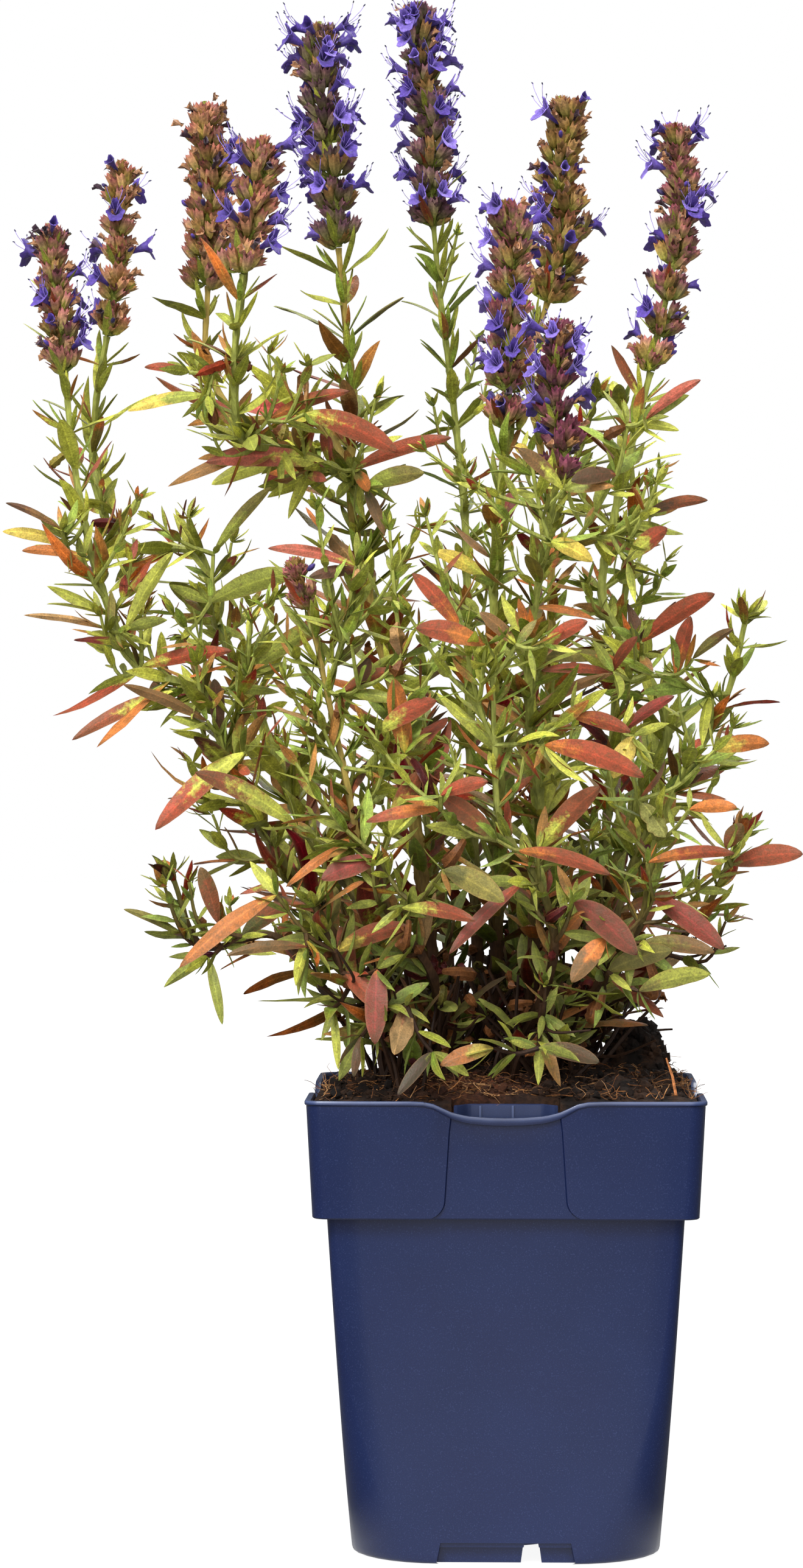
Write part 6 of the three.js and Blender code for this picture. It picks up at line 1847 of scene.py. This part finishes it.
def full_ring(z, half, corner, recess=0.0, height_at=None):
    """A ring of points all around. height_at gives the height over the distance from the middle of a side."""
    x, out = side_line(z, half, corner, recess)
    height = np.full(len(x), z) if height_at is None else height_at(np.abs(x))
    return np.vstack([turned(np.column_stack([x, -out, height]), turn) for turn in QUARTERS])


# %% The wall, row by row
def dip(across):
    return np.interp(across, DIP_AT, DIP_DEEP)


def lip_bottom(across):
    return POT_HEIGHT - dip(across) - 1.25 - 0.8 * dip(across) / DIP_DEEP[0]


def wall_rows():
    rows = [full_ring(0, body_half(0) - 0.8, body_corner(0), NOTCH_DEPTH - 0.8),
            full_ring(0.35, body_half(0.35) - 0.25, body_corner(0.35), NOTCH_DEPTH - 0.25)]
    for z in (1, 2.5, 4, 5.75):
        rows.append(full_ring(z, body_half(z), body_corner(z), NOTCH_DEPTH))
    for z in (NOTCH_HEIGHT, 6.4, 7.4, 9, 12, 15, 18, 22, 26, 30, 35, 40, 46, 52, 59, 66, 73, 80, 87, 92,
              94.6):
        rows.append(full_ring(z, body_half(z), body_corner(z)))
    rows.append(full_ring(COLLAR_BOTTOM - 0.05, body_half(COLLAR_BOTTOM), 3))
    rows.append(full_ring(COLLAR_BOTTOM, collar_half(COLLAR_BOTTOM) - 0.35, COLLAR_CORNER - 0.2,
                          PANEL_RECESS))
    for above in (0.35, 0.9, 1.6, 2.4, 3.3, 4.2, 5, 8, 12, 16, 20, 24):
        z = COLLAR_BOTTOM + above
        rows.append(full_ring(z, collar_half(z), COLLAR_CORNER, PANEL_RECESS))
    z = POT_HEIGHT - 2
    half = collar_half(z)
    for below in (0.5, 0.12):
        rows.append(full_ring(z, half, COLLAR_CORNER, PANEL_RECESS, lambda a, b=below: lip_bottom(a) - b))
    for out, down in ((0.3, 0), (0.48, 0.2), (0.48, 0.75)):
        rows.append(full_ring(z, half + out, COLLAR_CORNER + 0.3, 0,
                              lambda a, d=down: lip_bottom(a) + d * (POT_HEIGHT - dip(a) - lip_bottom(a))))
    for inward, drop in ((-0.35, 0.08), (0.0, 0.0), (0.7, 0.0), (1.15, 0.12), (1.3, 0.5)):
        rows.append(full_ring(z, half - inward, COLLAR_CORNER + 0.2 - 0.5 * max(inward, 0), 0,
                              lambda a, d=drop: POT_HEIGHT - dip(a) - d))
    for z in (118, 108, COLLAR_BOTTOM + WALL + 0.01):
        rows.append(full_ring(z, collar_half(z) - WALL, COLLAR_CORNER - 0.6))
    for z in (COLLAR_BOTTOM + WALL, 52, 28, 12, FLOOR_TOP):
        rows.append(full_ring(z, body_half(z) - WALL, body_corner(z) - 0.6))
    skirt = NOTCH_DEPTH + WALL
    for z in (FLOOR_TOP - 0.1, 0):
        rows.append(full_ring(z, body_half(0) - skirt, body_corner(0) - skirt))
    return rows


WORN_DEPTH, RUBBED_SHARE = 0.75, 0.8
rows = wall_rows()
around_pot = len(rows[0])
row, column = np.meshgrid(np.arange(len(rows)), np.arange(around_pot), indexing="ij")
next_row, next_column = (row + 1) % len(rows), (column + 1) % around_pot
wall_quads = np.stack([row * around_pot + column, row * around_pot + next_column,
                       next_row * around_pot + next_column, next_row * around_pot + column], -1).reshape(-1,
                                                                                                         4)
worn = np.repeat([ring[:, 2].max() > POT_HEIGHT - WORN_DEPTH for ring in rows], around_pot)
print("the pot's wall: rows", len(rows), "points around", around_pot)


# %% Plain helpers: a blank set of values, and a block from two rings
def blank_values(count, under=0.0):
    values = np.zeros((count, 7))
    values[:, 5] = under
    return values


def add_block(piece, low_ring, high_ring, under=0.0):
    """A convex block between two rings of as many points."""
    points = np.vstack([low_ring.mean(0), low_ring, high_ring, high_ring.mean(0)])
    piece.add(points, tube_faces(2, len(low_ring)), blank_values(len(points), under))


def raised(ring, height):
    return ring + UP * height


def square_ring(half, corner, z, steps=6):
    angles = np.arange(steps + 1) / steps * math.pi / 2
    quarter = np.column_stack([half - corner + corner * np.cos(angles),
                               half - corner + corner * np.sin(angles),
                               np.full(len(angles), z)])
    return np.vstack([turned(quarter, turn) for turn in QUARTERS])


# %% Slots for water: blocks that are cut out of the foot and the floor
DRAIN_SHIFT, DRAIN_TOP_HALF, DRAIN_FOOT_HALF, DRAIN_END = 7.0, 1.9, 3.0, -31


def drain_cutter():
    """Slots through the foot and the floor, one in each side, each right of the middle."""
    cutter = Skins()
    for turn in QUARTERS:
        for front, top in ((-45, NOTCH_HEIGHT - 0.25), (-FOOT_WIDTH / 2 + 1.7, FLOOR_TOP + 1)):
            ring = [(DRAIN_SHIFT - DRAIN_FOOT_HALF, -1), (DRAIN_SHIFT + DRAIN_FOOT_HALF, -1),
                    (DRAIN_SHIFT + DRAIN_TOP_HALF, top), (DRAIN_SHIFT - DRAIN_TOP_HALF, top)]
            front_ring = np.array([(x, front, z) for x, z in ring])
            back_ring = np.array([(x, DRAIN_END + front * 1e-3, z) for x, z in ring])
            add_block(cutter, turned(back_ring, turn), turned(front_ring, turn))
    return cutter


def mesh_of(name, skins_here):
    mesh = bpy.data.meshes.new(name)
    faces = np.concatenate(skins_here.quads).tolist() + np.concatenate(skins_here.triangles).tolist()
    mesh.from_pydata((np.concatenate(skins_here.points) * MM).tolist(), [], faces)
    mesh.update()
    return mesh


def cut(piece, cutter_mesh):
    """Cuts the cutter out of a piece and keeps the result as the piece's own mesh."""
    cutter = new_object("cutter", cutter_mesh)
    difference = piece.modifiers.new("slots", "BOOLEAN")
    difference.operation = "DIFFERENCE"
    difference.object = cutter
    difference.solver = "EXACT"
    difference.use_self = True
    bpy.context.view_layer.update()
    result = bpy.data.meshes.new_from_object(piece.evaluated_get(bpy.context.evaluated_depsgraph_get()))
    piece.modifiers.clear()
    piece.data = result
    bpy.data.objects.remove(cutter)


# %% The floor with its pad and ribs
FLOOR_OVERLAP = 0.1
floor_skins = Skins()
floor_corner = body_corner(FLOOR_TOP) - 0.8
floor_half = body_half(FLOOR_TOP) - WALL + 0.3
add_block(floor_skins, square_ring(floor_half, floor_corner, FLOOR_UNDERSIDE),
          square_ring(floor_half, floor_corner, FLOOR_TOP))
pad_angles = circle(48)
pad = np.column_stack([15 * np.cos(pad_angles), 15 * np.sin(pad_angles), 0 * pad_angles])
add_block(floor_skins, pad * [0.98, 0.98, 1], raised(pad, 0.5))
add_block(floor_skins, raised(pad, 0.5), raised(pad, FLOOR_UNDERSIDE + FLOOR_OVERLAP))
rib = np.array([(14, -0.8, 0), (47.5, -0.8, 0), (47.5, 0.8, 0), (14, 0.8, 0)])
for turn in QUARTERS:
    rib_ring = turned(rib, math.pi / 4 + turn)
    add_block(floor_skins, rib_ring, raised(rib_ring, FLOOR_UNDERSIDE + FLOOR_OVERLAP))

# %% The pocket for a plant label behind the front dip: a bent sheet from wall to wall with two fins
POCKET_DEPTH, POCKET_LOW, POCKET_TOP = 4.4, POT_HEIGHT - 21.1, POT_HEIGHT - 1.1
POCKET_PATH = np.array([(-13.7, -0.5), (-12.4, 1.2), (-11.2, 3.2), (-10, 4.2), (-8.4, POCKET_DEPTH),
                        (0, POCKET_DEPTH),
                        (8.4, POCKET_DEPTH), (10, 4.2), (11.2, 3.2), (12.4, 1.2), (13.7, -0.5)])
pocket = Skins()
behind_collar = collar_half(POT_HEIGHT - 10)
pocket_wall = WALL - behind_collar
path = smooth_through(np.column_stack([POCKET_PATH + [0, pocket_wall], np.zeros(len(POCKET_PATH))]), 1.2)
to_wall = np.clip(1 - (path[:, 1] - pocket_wall) / 4, 0, 1)
headings = np.gradient(path, axis=0)
headings /= np.linalg.norm(headings, axis=1, keepdims=True)
sideways = np.column_stack([-headings[:, 1], headings[:, 0], headings[:, 2]])
section = [(-0.6, POCKET_LOW), (0.6, POCKET_LOW), (0.6, POCKET_TOP - 0.25), (0.3, POCKET_TOP),
           (-0.3, POCKET_TOP),
           (-0.6, POCKET_TOP - 0.25)]
rings = np.stack([raised(path + sideways * aside_by, z)
                  + np.outer(to_wall, [0, 0.45 + behind_collar - collar_half(z), 0])
                  for aside_by, z in section], axis=1)
points = np.vstack([rings[0].mean(0), rings.reshape(-1, 3), rings[-1].mean(0)])
pocket.add(points, tube_faces(len(path), len(section)), blank_values(len(points), 0.35))
for x in (-7.0, 1.9):
    y = pocket_wall + POCKET_DEPTH - 0.6
    fin = np.array([(x - 0.3, y - 0.5, 0), (x + 0.3, y - 0.5, 0), (x + 0.3, y + 0.1, 0),
                    (x - 0.3, y + 0.1, 0)])
    add_block(pocket, raised(fin, POCKET_LOW), raised(fin, POCKET_TOP - 0.4), 1.0)
print("pocket to its top in mm:", round(POCKET_TOP, 1), "fins:", 2)

# %% [markdown]
# ## Moulded polypropylene
#
# The plastic is dyed dark blue in the mass and comes from a finely etched mould, so it has an even fine grain
# under a soft gloss. It mirrors the glowing table near its foot and the dark beyond, so its sides stay deep
# blue and its edges catch the light. IOR 1.49 is that of polypropylene. Roughness 0.25 with a weak grain of
# 0.35 mm blurs the mirror images. The real grain is finer, and is drawn so coarse only to show. The lip is
# rubbed paler where hands take hold of it.

# %% Pot material
POT_GRAIN_MM, CLOUD_MM = 0.35, 24
pot_paint, add, on_pot = new_material("blue_polypropylene")
rubbed_there = add("Attribute", {"attribute_name": "under"}).outputs["Fac"]
grain = add("TexNoise", {"Scale": 1 / (POT_GRAIN_MM * MM), "Detail": 2.0}, {0: on_pot})
clouds = add("TexNoise", {"Scale": 1 / (CLOUD_MM * MM), "Detail": 3.0}, {0: on_pot})
blue = add("Mix", {"data_type": "RGBA", 6: rgba("#0c173b"), 7: rgba("#101e45")}, {0: clouds})
fleck = add("MapRange", {1: 0.56, 2: 0.75, 3: 0.0, 4: 0.25}, {0: grain})
flecked = add("Mix", {"data_type": "RGBA", 7: rgba("#3a4874")}, {0: fleck, 6: blue})
rubbed = add("Math", {"operation": "MULTIPLY"}, {0: rubbed_there, 1: clouds})
edged = add("Mix", {"data_type": "RGBA", 7: rgba("#66749c")}, {0: rubbed, 6: flecked})
bump = add("Bump", {"Strength": 0.1, "Distance": 0.08 * MM}, {"Height": grain})
shader = add("BsdfPrincipled", {"Roughness": 0.25, "IOR": 1.49}, {"Base Color": edged, "Normal": bump})
add("OutputMaterial", links={"Surface": shader})

# %% Make the pot
wall = Skins()
wall_values = blank_values(len(worn), worn * RUBBED_SHARE)
wall.add(np.vstack(rows), (wall_quads, np.zeros((0, 3), int)), wall_values)
cutter_mesh = mesh_of("cutter", drain_cutter())
for name, skins_here in (("pot_wall", wall), ("pot_floor", floor_skins)):
    piece = make_piece(name, skins_here, pot_paint, ["pot"], crease=32)
    cut(piece, cutter_mesh)
    piece.data.set_sharp_from_angle(angle=math.radians(32))
    print(name, "has faces:", len(piece.data.polygons))
make_piece("label_pocket", pocket, pot_paint, ["pot"], crease=40)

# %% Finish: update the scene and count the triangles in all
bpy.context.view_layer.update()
print("triangles in all:", sum(face_totals.values()))
